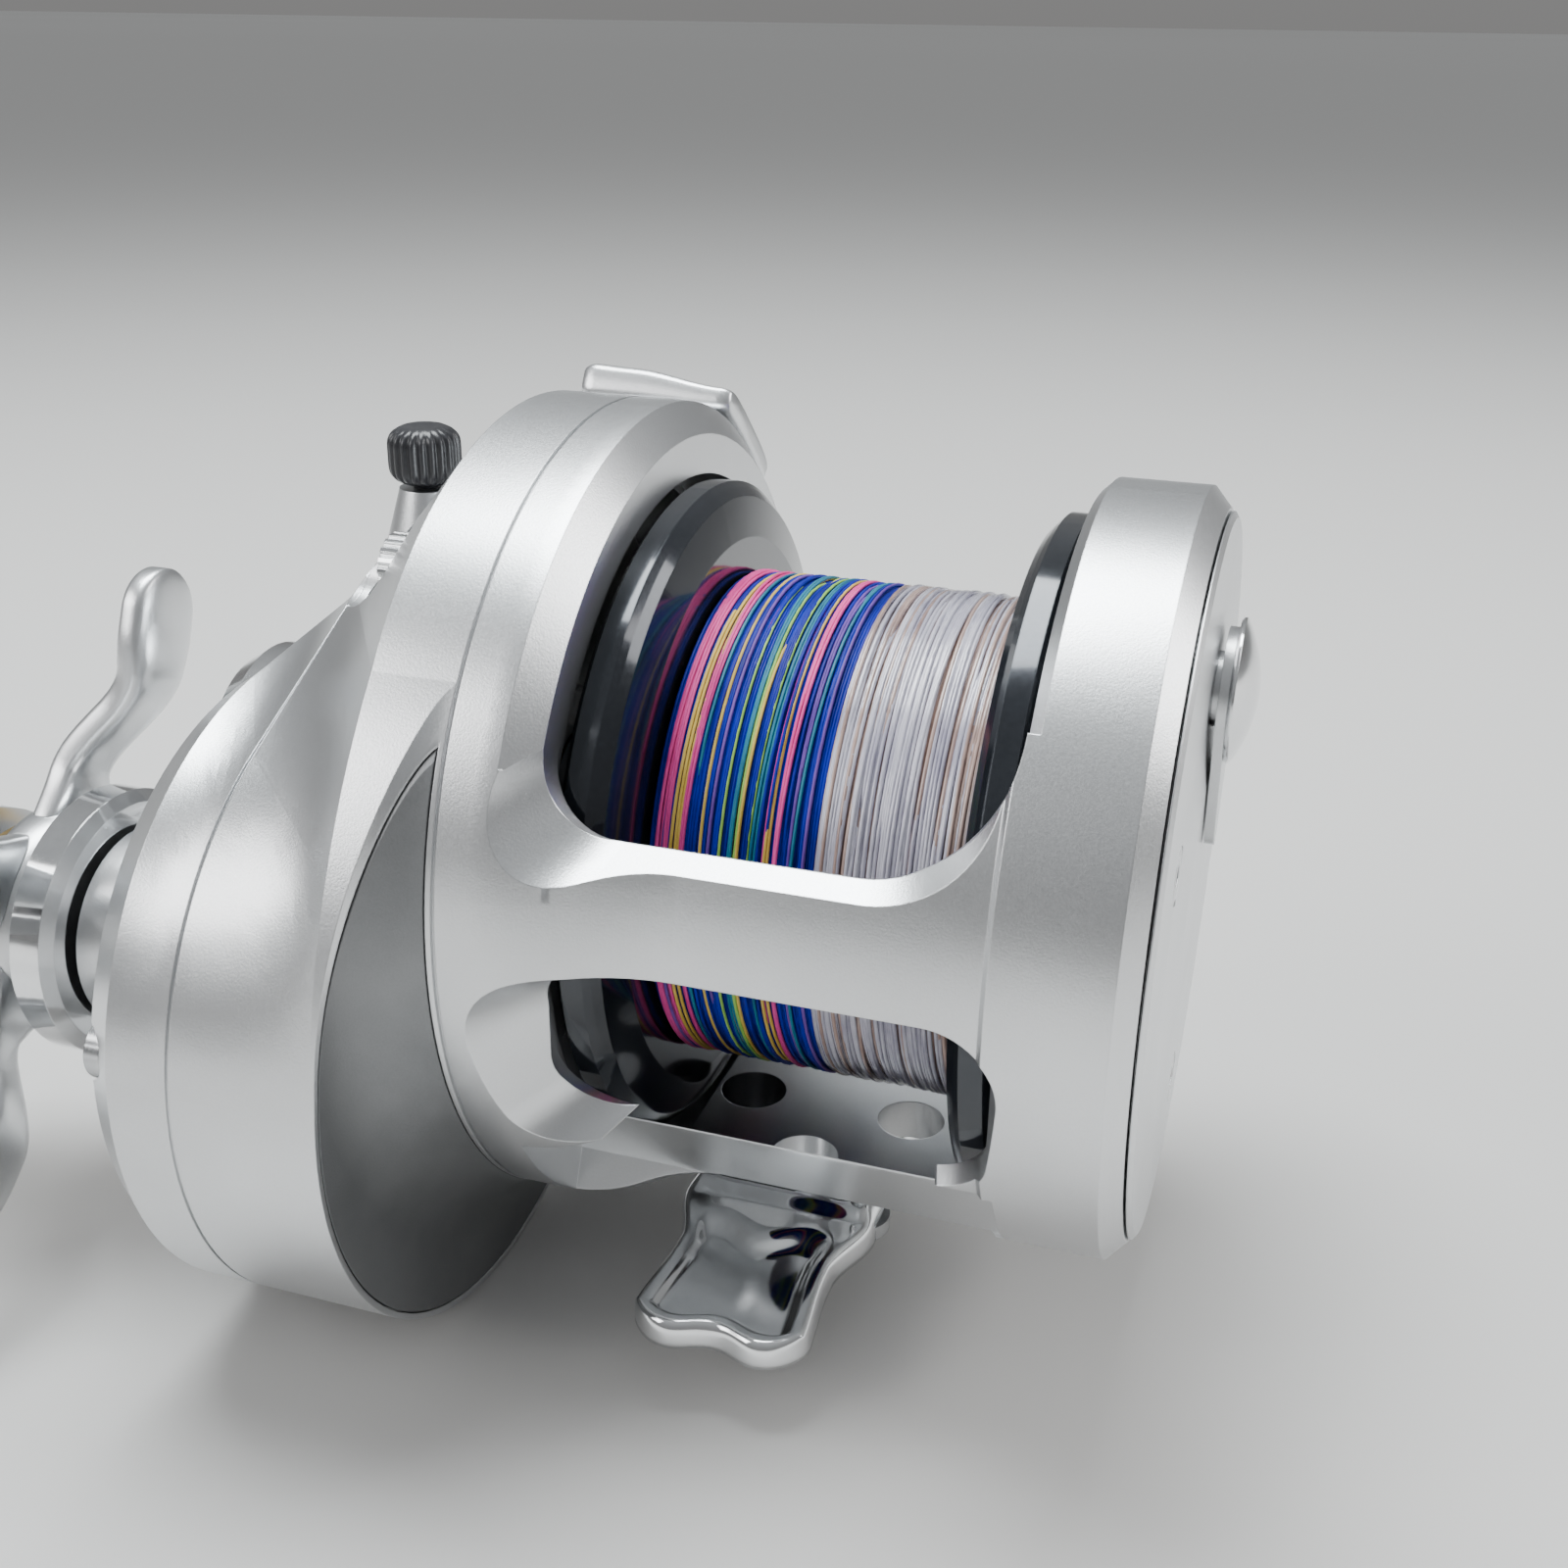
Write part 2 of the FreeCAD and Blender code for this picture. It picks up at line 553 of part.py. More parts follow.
def make_foot():
    """Polished reel foot: a thin tongue with a raised pad under the frame's boss."""
    body = new_body("reel_foot")
    mid = -D["spool_offset"]
    seat = -D["spool_height"]
    top = seat + D["foot_thickness"]
    half, wide, end = D["foot_length"] / 2, D["foot_middle"] / 2, D["foot_end"] / 2
    corner = Size.of(3.0)
    pad(body, "XY_Plane", [
        (mid - wide, -half / 2), (mid - end, -half + corner, corner * 1.02, 1),
        (mid - end + corner, -half), (mid + end - corner, -half, corner * 1.02, 1),
        (mid + end, -half + corner), (mid + wide, -half / 2), (mid + wide, half / 2),
        (mid + end, half - corner, corner * 1.02, 1), (mid + end - corner, half),
        (mid - end + corner, half, corner * 1.02, 1), (mid - end, half - corner), (mid - wide, half / 2),
    ], seat, top)
    pad(body, "XY_Plane", rounded(
        mid - D["boss_width"] / 2, mid + D["boss_width"] / 2, -D["boss_depth"], D["boss_depth"], Size.of(3)),
        top - 0.2, D["boss_face"])
    # dished top of both tongues
    for side in (-1, 1):
        inner, outer = D["boss_depth"] + 4.2, half - 2.2
        low, high = (side * inner, side * outer) if side > 0 else (-outer, -inner)
        pad(body, "XY_Plane", rounded(mid - end + 2, mid + end - 2, low, high, Size.of(2.4)),
            top - 0.9, top + 1, kind="PartDesign::Pocket")
    drill(body, "XY_Plane", foot_screw_places(), D["screw_radius"] + 0.1, seat - 1, D["boss_face"] + 1)
    drill(body, "XY_Plane", foot_screw_places(), D["screw_head"] + 0.1, seat - 1, seat + 1.5)
    place(body)


def make_foot_screws():
    shapes = []
    seat = float(-D["spool_height"])
    head = float(D["screw_head"])
    shank = float(D["screw_radius"]) - 0.05
    for x, y in foot_screw_places():
        foot = FreeCAD.Vector(float(x), float(y), seat + 0.1)
        shape = Part.makeCylinder(head, 1.35, foot)
        shape = shape.fuse(Part.makeCylinder(shank, 7.0, foot + FreeCAD.Vector(0, 0, 0.5)))
        shapes.append(shape.cut(socket(foot, (0, 0, 1), 0.9)))
    feature("foot_screws", Part.makeCompound(shapes))


def socket(point, direction, across):
    """Hexagonal driver recess, starting at a head's face and going in along direction."""
    aim = FreeCAD.Vector(*direction)
    corners = [FreeCAD.Vector(across * math.cos(math.radians(60 * turn)),
                              across * math.sin(math.radians(60 * turn)), 0) for turn in range(7)]
    prism = Part.Face(Part.makePolygon(corners)).extrude(FreeCAD.Vector(0, 0, 1.1))
    prism.Placement = FreeCAD.Placement(point - aim * 0.2, FreeCAD.Rotation(FreeCAD.Vector(0, 0, 1), aim))
    return prism


def screw(tip, face, radius, head_radius, head_length, y, z):
    """Socket screw along X with its head at the low-X end (face below tip) or the high-X end."""
    way = 1 if float(tip) > float(face) else -1
    low, high = sorted((float(face) + way * 0.3, float(tip)))
    head_low, head_high = sorted((float(face), float(face) + way * head_length))
    shape = rod(low, high, radius, y, z).fuse(rod(head_low, head_high, head_radius, y, z))
    return shape.cut(socket(FreeCAD.Vector(float(face), float(y), float(z)), (way, 0, 0), head_radius * 0.42))


def ring_of(low, high, inner, outer, y=0.0, z=0.0):
    return rod(low, high, outer, y, z).cut(rod(float(low) - 1, float(high) + 1, inner, y, z))


def bearing(label, low, inner, outer, width, balls=8, **where):
    """Ball bearing along X: two grooved rings, a ring of balls and two shields."""
    middle, gap = low + width / 2, (outer - inner)
    track = inner + gap / 2
    ball = gap * 0.24
    shapes = [
        ring_of(low, low + width, inner, inner + gap * 0.3), ring_of(low, low + width, outer - gap * 0.3, outer),
    ]
    torus = Part.makeTorus(track, ball + 0.03, FreeCAD.Vector(middle, 0, 0), FreeCAD.Vector(1, 0, 0))
    shapes = [shape.cut(torus) for shape in shapes]
    for index in range(balls):
        angle = 2 * math.pi * index / balls
        centre = FreeCAD.Vector(middle, track * math.cos(angle), track * math.sin(angle))
        shapes.append(Part.makeSphere(ball, centre))
    feature(label, Part.makeCompound(shapes), **where)


def make_spool():
    face, rim, inner = D["flange_face"], D["flange_radius"], D["flange_inner"]
    hub = Size.of(6.0)
    half = [
        (inner, D["arbor_radius"]), (inner + 0.2, rim - 4.6), (inner + 1.0, rim - 1.2), (inner + 1.6, rim - 0.5),
        (inner + 2.1, rim), (face - 0.5, rim), (face, rim - 0.6), (face, rim - 4.4), (face - 1.9, rim - 6.5),
        (face - 1.9, hub + 2.5), (face + 1.4, hub), (face + 1.4, D["shaft_radius"] + 0.02),
    ]
    mirrored = [(-u, v) for u, v in reversed(half)]
    turned("spool", half + mirrored)
    turned("line_braid", tube(-inner + 0.06, D["leader_start"] - 0.03, D["arbor_radius"] + 0.05,
                              D["line_radius"], 0.5))
    turned("line_leader", tube(D["leader_start"] + 0.03, inner - 0.06, D["arbor_radius"] + 0.05,
                               D["line_radius"] - 0.1, 0.5))
    shaft = turned("spool_shaft", [
        (D["shaft_left"], 0), (D["shaft_right"], 0), (D["shaft_right"], D["shaft_radius"] - 0.3),
        (D["shaft_right"] - 0.3, D["shaft_radius"]), (D["shaft_left"] + 0.6, D["shaft_radius"]),
        (D["shaft_left"], D["shaft_radius"] - 0.6),
    ])
    drill(shaft, "XZ_Plane", [(-28.6, 0)], 0.8, -3, 3)
    pin = Part.makeCylinder(0.79, 8.0, FreeCAD.Vector(-28.6, -4.0, 0), FreeCAD.Vector(0, 1, 0))
    feature("spool_cross_pin", pin)
    wheel = gear_solid(24, 0.36, -20.9, -19.6, 2.05, tooth=0.45)
    feature("click_wheel", wheel.cut(rod(-21, -19, 2.01)))


def gear_solid(teeth, module, low, high, bore, phase=0.0, tooth=0.43):
    """Spur gear along X with straight-flanked teeth; a tooth points along +Y at phase 0."""
    pitch = teeth * module / 2
    step = 2 * math.pi / teeth
    points = []
    for index in range(teeth):
        middle = index * step + phase
        for radius, share in ((pitch - 1.2 * module, -0.72), (pitch + 0.85 * module, -0.21 * tooth / 0.43),
                              (pitch + 0.85 * module, 0.21 * tooth / 0.43), (pitch - 1.2 * module, 0.72)):
            spread = share * step * (0.5 if radius > pitch else tooth)
            points.append(FreeCAD.Vector(0, radius * math.cos(middle + spread), radius * math.sin(middle + spread)))
    points.append(points[0])
    solid = Part.Face(Part.makePolygon(points)).extrude(FreeCAD.Vector(float(high) - float(low), 0, 0))
    solid.translate(FreeCAD.Vector(float(low), 0, 0))
    return solid.cut(rod(float(low) - 1, float(high) + 1, bore))


YOKE_LEFT = -35.4
PIN_HEAD = -38.6
GUIDES = (-11.2, 11.2)


def make_gears():
    distance = math.hypot(float(D["gear_y"]), float(D["gear_z"]))
    gear_teeth, pinion_teeth = int(D["gear_teeth"].number), int(D["pinion_teeth"].number)
    module = 2 * distance / (gear_teeth + pinion_teeth)
    towards = math.atan2(-float(D["gear_z"]), -float(D["gear_y"]))
    low, high = D["gear_left"], D["gear_right"]
    gear = gear_solid(gear_teeth, module, low, high, D["drive_radius"] + 0.05, phase=towards)
    gear = gear.cut(ring_of(float(high) - 0.9, float(high) + 1, 8, 13.6))
    gear = gear.cut(rod(float(low) - 1, float(low) + 1.4, 13.2))
    for index in range(6):
        angle = math.pi / 3 * index
        gear = gear.cut(rod(float(low) - 1, float(high) + 1, 1.7, 10.8 * math.cos(angle), 10.8 * math.sin(angle)))
    feature("drive_gear", gear, **GEAR)
    facing = towards + math.pi + math.pi / pinion_teeth
    pinion = gear_solid(pinion_teeth, module, float(low) - 0.4, float(high) + 2.6, D["pinion_bore"], phase=facing)
    journal = ring_of(-47.4, float(low) - 0.4, D["pinion_bore"], 2.95)
    sleeve = ring_of(float(high) + 2.6, -27.2, D["pinion_bore"], 4.6)
    sleeve = sleeve.cut(ring_of(YOKE_LEFT - 0.1, YOKE_LEFT + 1.3, 3.4, 6))
    slot = Part.makeBox(2.6, 12, 2.0, FreeCAD.Vector(-29.6, -6, -1.0))
    slot = slot.fuse(Part.makeBox(2.6, 2.0, 12, FreeCAD.Vector(-29.6, -1.0, -6)))
    feature("pinion_gear", pinion.fuse(journal).fuse(sleeve).cut(slot).removeSplitter())
    yoke = Part.makeBox(1.2, 26.4, 10.5, FreeCAD.Vector(YOKE_LEFT, -13.2, -3.5))
    yoke = yoke.cut(rod(YOKE_LEFT - 1, YOKE_LEFT + 2, 3.5))
    yoke = yoke.cut(Part.makeBox(3, 7.0, 6, FreeCAD.Vector(YOKE_LEFT - 1, -3.5, -6)))
    for y in GUIDES:
        yoke = yoke.cut(rod(YOKE_LEFT - 1, YOKE_LEFT + 2, 0.86, y, 1.5))
    feature("clutch_yoke", yoke)
    pins = [rod(PIN_HEAD, D["case_floor"], 0.8, y, 1.5).fuse(rod(PIN_HEAD - 0.4, PIN_HEAD, 1.5, y, 1.5))
            for y in GUIDES]
    feature("yoke_guide_pins", Part.makeCompound(pins))
    coils = [coil(PIN_HEAD + 0.05, YOKE_LEFT - 0.05, 1.25, 0.2, 3, y, 1.5) for y in GUIDES]
    feature("yoke_springs", Part.makeCompound(coils))


def coil(low, high, radius, wire, turns, y=0.0, z=0.0):
    """Compression spring along X, between two closed ends."""
    pitch = (float(high) - float(low) - 2 * wire) / turns
    helix = Part.makeHelix(pitch, pitch * turns, radius)
    start = helix.Edges[0].valueAt(helix.Edges[0].FirstParameter)
    section = Part.Wire(Part.makeCircle(wire, start, FreeCAD.Vector(0, 1, 0)))
    spring = helix.makePipeShell([section], True, True)
    spring.Placement = FreeCAD.Placement(FreeCAD.Vector(float(low) + wire, y, z), ALONG_X)
    return spring


def make_clutch():
    """Cam ring round the pinion and the thumb lever that turns it."""
    low, high = -33.5, -32.5
    cam = ring_of(low, high, 5.2, 9.4)
    for angle in (90, 270):
        ramp = Part.makeBox(0.65, 3.0, 2.4, FreeCAD.Vector(low - 0.6, 5.9, -1.2))
        ramp.rotate(FreeCAD.Vector(0, 0, 0), FreeCAD.Vector(1, 0, 0), angle + 38)
        cam = cam.fuse(ramp)
    arm = Part.makeBox(high - low, 5.0, 26.8, FreeCAD.Vector(low, -2.5, 8.6))
    arm.rotate(FreeCAD.Vector(0, 0, 0), FreeCAD.Vector(1, 0, 0), -37)
    feature("clutch_cam", cam.fuse(arm).removeSplitter())
    inner, outer = float(D["left_ring_radius"]) + 0.8, float(D["left_ring_radius"]) + 5.0
    feature("clutch_lever", lever_pad(inner, outer))


def lever_pad(inner, outer):
    """Curved thumb pad lying over the ring, with a stem that holds the cam's arm."""
    start, end = math.radians(29), math.radians(53)
    corners = []
    for radius, angles in ((inner, (start, end)), (outer, (end, start))):
        for angle in angles:
            corners.append((radius * math.sin(angle), radius * math.cos(angle)))
    middle = (start + end) / 2
    def at(radius, angle):
        return FreeCAD.Vector(0, radius * math.sin(angle), radius * math.cos(angle))
    edges = [
        Part.Arc(at(inner, start), at(inner, middle), at(inner, end)).toShape(),
        Part.makeLine(at(inner, end), at(outer, end)),
        Part.Arc(at(outer, end), at(outer, middle), at(outer, start)).toShape(),
        Part.makeLine(at(outer, start), at(inner, start)),
    ]
    pad_shape = Part.Face(Part.Wire(edges)).extrude(FreeCAD.Vector(15.4, 0, 0))
    pad_shape.translate(FreeCAD.Vector(-34.6, 0, 0))
    stem = Part.makeBox(3.6, 7.0, 2.6, FreeCAD.Vector(-34.9, -3.5, 33.9))
    stem.rotate(FreeCAD.Vector(0, 0, 0), FreeCAD.Vector(1, 0, 0), -37)
    groove = Part.makeBox(1.06, 5.06, 2.6, FreeCAD.Vector(-33.53, -2.53, 32.9))
    groove.rotate(FreeCAD.Vector(0, 0, 0), FreeCAD.Vector(1, 0, 0), -37)
    return pad_shape.fuse(stem).cut(groove).removeSplitter()


def make_drive():
    """Drive shaft with everything that turns with the handle."""
    floor = D["case_floor"]
    stop = D["handle_face"] - D["handle_thickness"]
    turned("drive_shaft", [
        (stop - 4.0, 0), (floor - 0.8, 0), (floor - 0.8, 2.5), (floor - 4.6, 2.5), (floor - 4.6, 8.6),
        (floor - 5.6, 8.6), (floor - 5.6, D["drive_radius"]), (stop - 4.0, D["drive_radius"]),
    ], **GEAR)
    bearing("drive_shaft_bearing", float(floor) - 4.2, 2.52, 4.95, 3.6, **GEAR)
    teeth = 12
    ratchet = rod(-39.0, -38.1, 11.0).cut(rod(-40, -38, 4.05))
    for index in range(teeth):
        notch = Part.makeBox(3, 1.6, 2.6, FreeCAD.Vector(-40, 9.9, -1.3))
        notch.rotate(FreeCAD.Vector(0, 0, 0), FreeCAD.Vector(1, 0, 0), 360.0 / teeth * index)
        ratchet = ratchet.cut(notch)
    feature("ratchet_wheel", ratchet, **GEAR)
    soft, hard = [], []
    x = float(D["gear_left"]) + 1.38
    for index in range(3):
        soft.append(ring_of(x - 0.62, x, 4.1, 12.9))
        hard.append(ring_of(x - 1.34, x - 0.64, 4.1, 12.7))
        x -= 1.36
    feature("drag_washers", Part.makeCompound(soft), **GEAR)
    feature("drag_plates", Part.makeCompound(hard), **GEAR)
    sleeve_start = x
    turned("clutch_sleeve", tube(-65.6, sleeve_start, 4.05, 5.0), **GEAR)
    rollers = [ring_of(-62.0, -50.4, 6.6, 8.0)]
    for index in range(8):
        angle = math.pi / 4 * index
        rollers.append(rod(-61.0, -51.4, 0.72, 5.76 * math.cos(angle), 5.76 * math.sin(angle)))
    feature("roller_clutch", Part.makeCompound(rollers), **GEAR)
    turned("clutch_housing", [
        (D["cover_face"] + 1.7, 8.05), (D["cover_face"] + 1.7, 9.15), (D["cover_face"] - 0.05, 9.15),
        (D["cover_face"] - 0.05, D["collar_radius"]),
        (D["collar_end"] + 4, D["collar_radius"]), (D["collar_end"] + 3.4, D["collar_radius"] - 0.5),
        (D["collar_end"], D["collar_radius"] - 0.5), (D["collar_end"], 5.2),
        (D["collar_end"] + 3.6, 5.2), (D["collar_end"] + 3.6, 8.05),
    ], **GEAR)


def star_arm_solid(length, width, low, high, bend):
    """One arm along +Z from the gear axis: straight, then bent towards +X, with a rounded pad."""
    knee, step = 17.0, 5.0
    side = [
        FreeCAD.Vector(low, 0, 8), FreeCAD.Vector(low, 0, knee), FreeCAD.Vector(low + bend, 0, knee + step),
        FreeCAD.Vector(low + bend, 0, length), FreeCAD.Vector(high + bend, 0, length),
        FreeCAD.Vector(high + bend, 0, knee + step - 1.2), FreeCAD.Vector(high, 0, knee - 1.2),
        FreeCAD.Vector(high, 0, 8), FreeCAD.Vector(low, 0, 8),
    ]
    strip = Part.Face(Part.makePolygon(side)).extrude(FreeCAD.Vector(0, width + 4, 0))
    strip.translate(FreeCAD.Vector(0, -(width + 4) / 2, 0))
    half = width / 2
    plan = [
        Part.makeLine(FreeCAD.Vector(0, -half * 1.25, 7), FreeCAD.Vector(0, -half * 0.72, 16)),
        Part.makeLine(FreeCAD.Vector(0, -half * 0.72, 16), FreeCAD.Vector(0, -half, length - half)),
        Part.Arc(FreeCAD.Vector(0, -half, length - half), FreeCAD.Vector(0, 0, length),
                 FreeCAD.Vector(0, half, length - half)).toShape(),
        Part.makeLine(FreeCAD.Vector(0, half, length - half), FreeCAD.Vector(0, half * 0.72, 16)),
        Part.makeLine(FreeCAD.Vector(0, half * 0.72, 16), FreeCAD.Vector(0, half * 1.25, 7)),
        Part.makeLine(FreeCAD.Vector(0, half * 1.25, 7), FreeCAD.Vector(0, -half * 1.25, 7)),
    ]
    shape = Part.Face(Part.Wire(plan)).extrude(FreeCAD.Vector(40, 0, 0))
    shape.translate(FreeCAD.Vector(low - 10, 0, 0))
    return strip.common(shape)


def make_star():
    low, high = float(D["star_face"]), float(D["star_face"]) + 3.4
    hub = ring_of(low - 0.6, high + 1.8, 4.3, 10.0)
    arms = int(D["star_arms"].number)
    for index in range(arms):
        arm = star_arm_solid(float(D["star_reach"]), 8.4, low, high, 6.4)
        arm.rotate(FreeCAD.Vector(0, 0, 0), FreeCAD.Vector(1, 0, 0), -22.5 - 360.0 / arms * index)
        hub = hub.fuse(arm)
    feature("star_drag", hub.removeSplitter(), **GEAR)
    turned("drag_collar", [
        (D["flange_end"], 4.3), (D["flange_start"] + 0.2, 4.3), (D["flange_start"] + 0.2, 11.4),
        (D["flange_start"] - 0.6, D["skirt_radius"]), (D["flange_end"] + 0.8, D["skirt_radius"]),
        (D["flange_end"], D["skirt_radius"] - 1.2),
    ], **GEAR)
    hex_nut = Part.makePolygon([
        FreeCAD.Vector(0, 9.4 * math.cos(math.pi / 3 * turn), 9.4 * math.sin(math.pi / 3 * turn))
        for turn in range(7)])
    nut = Part.Face(hex_nut).extrude(FreeCAD.Vector(-1.4, 0, 0))
    nut.translate(FreeCAD.Vector(low - 0.7, 0, 0))
    feature("star_nut", nut.cut(rod(low - 4, low + 1, 4.3)), **GEAR)
    turned("spring_washers", [
        (-80.9, 4.2), (-80.5, 4.2), (-79.2, 7.4), (-79.6, 7.4)], **GEAR)


def make_handle():
    """Crank arm, its nut, and the turning grip on its spindle."""
    low = float(D["handle_face"]) - float(D["handle_thickness"])
    high = float(D["handle_face"])
    length = float(D["handle_length"])
    lean = math.radians(-62.0)
    arm = slab(hull((0.0, 0.0, 8.6), (0.0, length, 5.6)), low, high)
    neck = slab(hull((0.0, 14.0, 2.6), (0.0, length - 14, 2.0)), low - 1, high + 1)
    arm = arm.cut(neck).cut(rod(low - 1, high + 1, 4.06)).cut(rod(low - 1, high + 1, 2.06, 0, length))
    arm.rotate(FreeCAD.Vector(0, 0, 0), FreeCAD.Vector(1, 0, 0), -math.degrees(lean))
    feature("handle_arm", arm, **GEAR)
    points = [FreeCAD.Vector(0, 6.8 * math.cos(math.pi / 3 * turn), 6.8 * math.sin(math.pi / 3 * turn))
              for turn in range(7)]
    nut = Part.Face(Part.makePolygon(points)).extrude(FreeCAD.Vector(-5.4, 0, 0))
    nut.translate(FreeCAD.Vector(low - 0.05, 0, 0))
    nut = nut.common(rod(low - 6, low, 6.5)).cut(rod(low - 4.1, low + 1, 4.06)).cut(rod(low - 7, low, 1.3))
    feature("handle_nut", nut, **GEAR)
    keeper = slab(hull((0.0, 0.0, 7.9), (0.0, 12.0, 3.0)), low - 6.3, low - 5.5)
    keeper = keeper.cut(rod(low - 8, low, 1.4))
    keeper = keeper.fuse(rod(low - 5.6, low - 0.05, 2.0, 0, 12.0)).cut(rod(low - 8, low + 1, 0.9, 0, 12.0))
    keeper.rotate(FreeCAD.Vector(0, 0, 0), FreeCAD.Vector(1, 0, 0), -math.degrees(lean))
    feature("nut_keeper", keeper, **GEAR)
    y, z = 12.0 * -math.sin(-lean), 12.0 * math.cos(lean)
    feature("keeper_screw", screw(low - 0.6, low - 7.5, 0.85, 1.9, 1.1, y, z), **GEAR)
    y = float(D["gear_y"]) + length * math.sin(lean)
    z = float(D["gear_z"]) + length * math.cos(lean)
    knob = {"y": y, "z": z}
    start = float(D["knob_start"])
    end = start - float(D["knob_length"])
    turned("knob_spindle", [
        (end + 5.0, 0), (high + 1.0, 0), (high + 1.0, 3.4), (high + 0.05, 3.4), (high + 0.05, 2.0),
        (low - 0.05, 2.0), (low - 0.05, 3.6), (start + 0.4, 3.6), (start + 0.4, 2.5), (end + 5.0, 2.5),
    ], **knob)
    radius = float(D["knob_radius"])
    turned("handle_knob", [
        (end + 1.4, 5.2), (end + 4.6, 5.2), (end + 4.6, 2.9), (start - 4.4, 2.9), (start - 4.4, 5.0),
        (start, 5.0), (start, 6.2), (start - 2.5, 7.0), (start - 12, radius * 0.78, 40.0, -1),
        (start - 26, radius, 12.0, 1), (end, radius * 0.72), (end, 7.0), (end + 1.4, 7.0),
    ], **knob)
    bearing("knob_bearing", start - 4.2, 2.52, 4.95, 3.4, **knob)
    turned("knob_cap", [
        (end - 0.5, 0), (end + 1.3, 0), (end + 1.3, 4.4), (end + 1.35, 6.9), (end + 0.1, 6.9), (end - 0.5, 6.0),
    ], **knob)


def make_palm_side():
    """Side plate with its bearing, screws and the brake lever."""
    lip, face, edge = D["cap_lip"], D["cap_face"], D["cap_radius"]
    plate_body = new_body("palm_side_plate")
    revolve(plate_body, [
        (lip - 4.4, 26.4), (lip - 4.4, D["plate_bore"] - 0.1), (lip - 0.15, D["plate_bore"] - 0.1),
        (lip, edge + 0.5), (lip + 0.1, edge + 0.5), (lip + 0.4, edge), (face - 0.3, 20.0, 80.0, 1),
        (face, 9.0), (face, 0.0), (face - 1.8, 0.0), (face - 1.8, 5.06), (lip - 5.8, 5.06),
        (lip - 5.8, 7.4), (face - 2.2, 7.4), (face - 2.4, 20.0), (lip - 0.6, 26.4),
    ])
    spots = [(20.5 * math.cos(math.radians(a)), 20.5 * math.sin(math.radians(a))) for a in (35, 155, 275)]
    drill(plate_body, "YZ_Plane", spots, 1.3, 20, 34)
    drill(plate_body, "YZ_Plane", spots, 2.2, face - 0.9, 34)
    lean = math.radians(4.0)
    pivot = {"y": D["lever_reach"] * math.sin(lean), "z": D["lever_reach"] * math.cos(lean)}
    drill(plate_body, "YZ_Plane", [(pivot["y"], pivot["z"])], 3.06, 20, 34)
    place(plate_body)
    heads = [screw(float(lip) - 3.2, float(face) - 0.35, 1.25, 2.1, 0.5, y, z) for y, z in spots]
    feature("side_plate_screws", Part.makeCompound(heads))
    bearing("spool_bearing_right", float(lip) - 5.6, 2.02, 5.0, 3.4)
    low, high = float(D["lever_face"]), float(D["lever_face"]) + 0.8
    inside = float(face) - 2.6
    arm = slab(hull((0.0, 0.0, 5.0), (0.0, -11.6, 1.7)), low, high)
    arm = arm.fuse(rod(inside, low + 0.2, 3.0)).cut(rod(inside - 1, low + 0.1, 1.1))
    feature("brake_lever", arm.removeSplitter(), **pivot)
    radius = float(D["dome_radius"])
    base = high + 0.03
    rise = 1.6
    dome = spin([
        (base, 0), (base + 0.4 + rise, 0, (radius ** 2 + rise ** 2) / (2 * rise), 1), (base + 0.4, radius),
        (base + 0.2, radius), (base, radius - 0.2),
    ])
    feature("lever_knob", dome, **pivot)
    feature("lever_screw", screw(low - 0.1, inside - 1.4, 1.05, 2.4, 0.8, 0, 0), **pivot)
    feature("brake_cam", ring_of(inside - 0.55, inside - 0.05, 1.15, 4.6), **pivot)


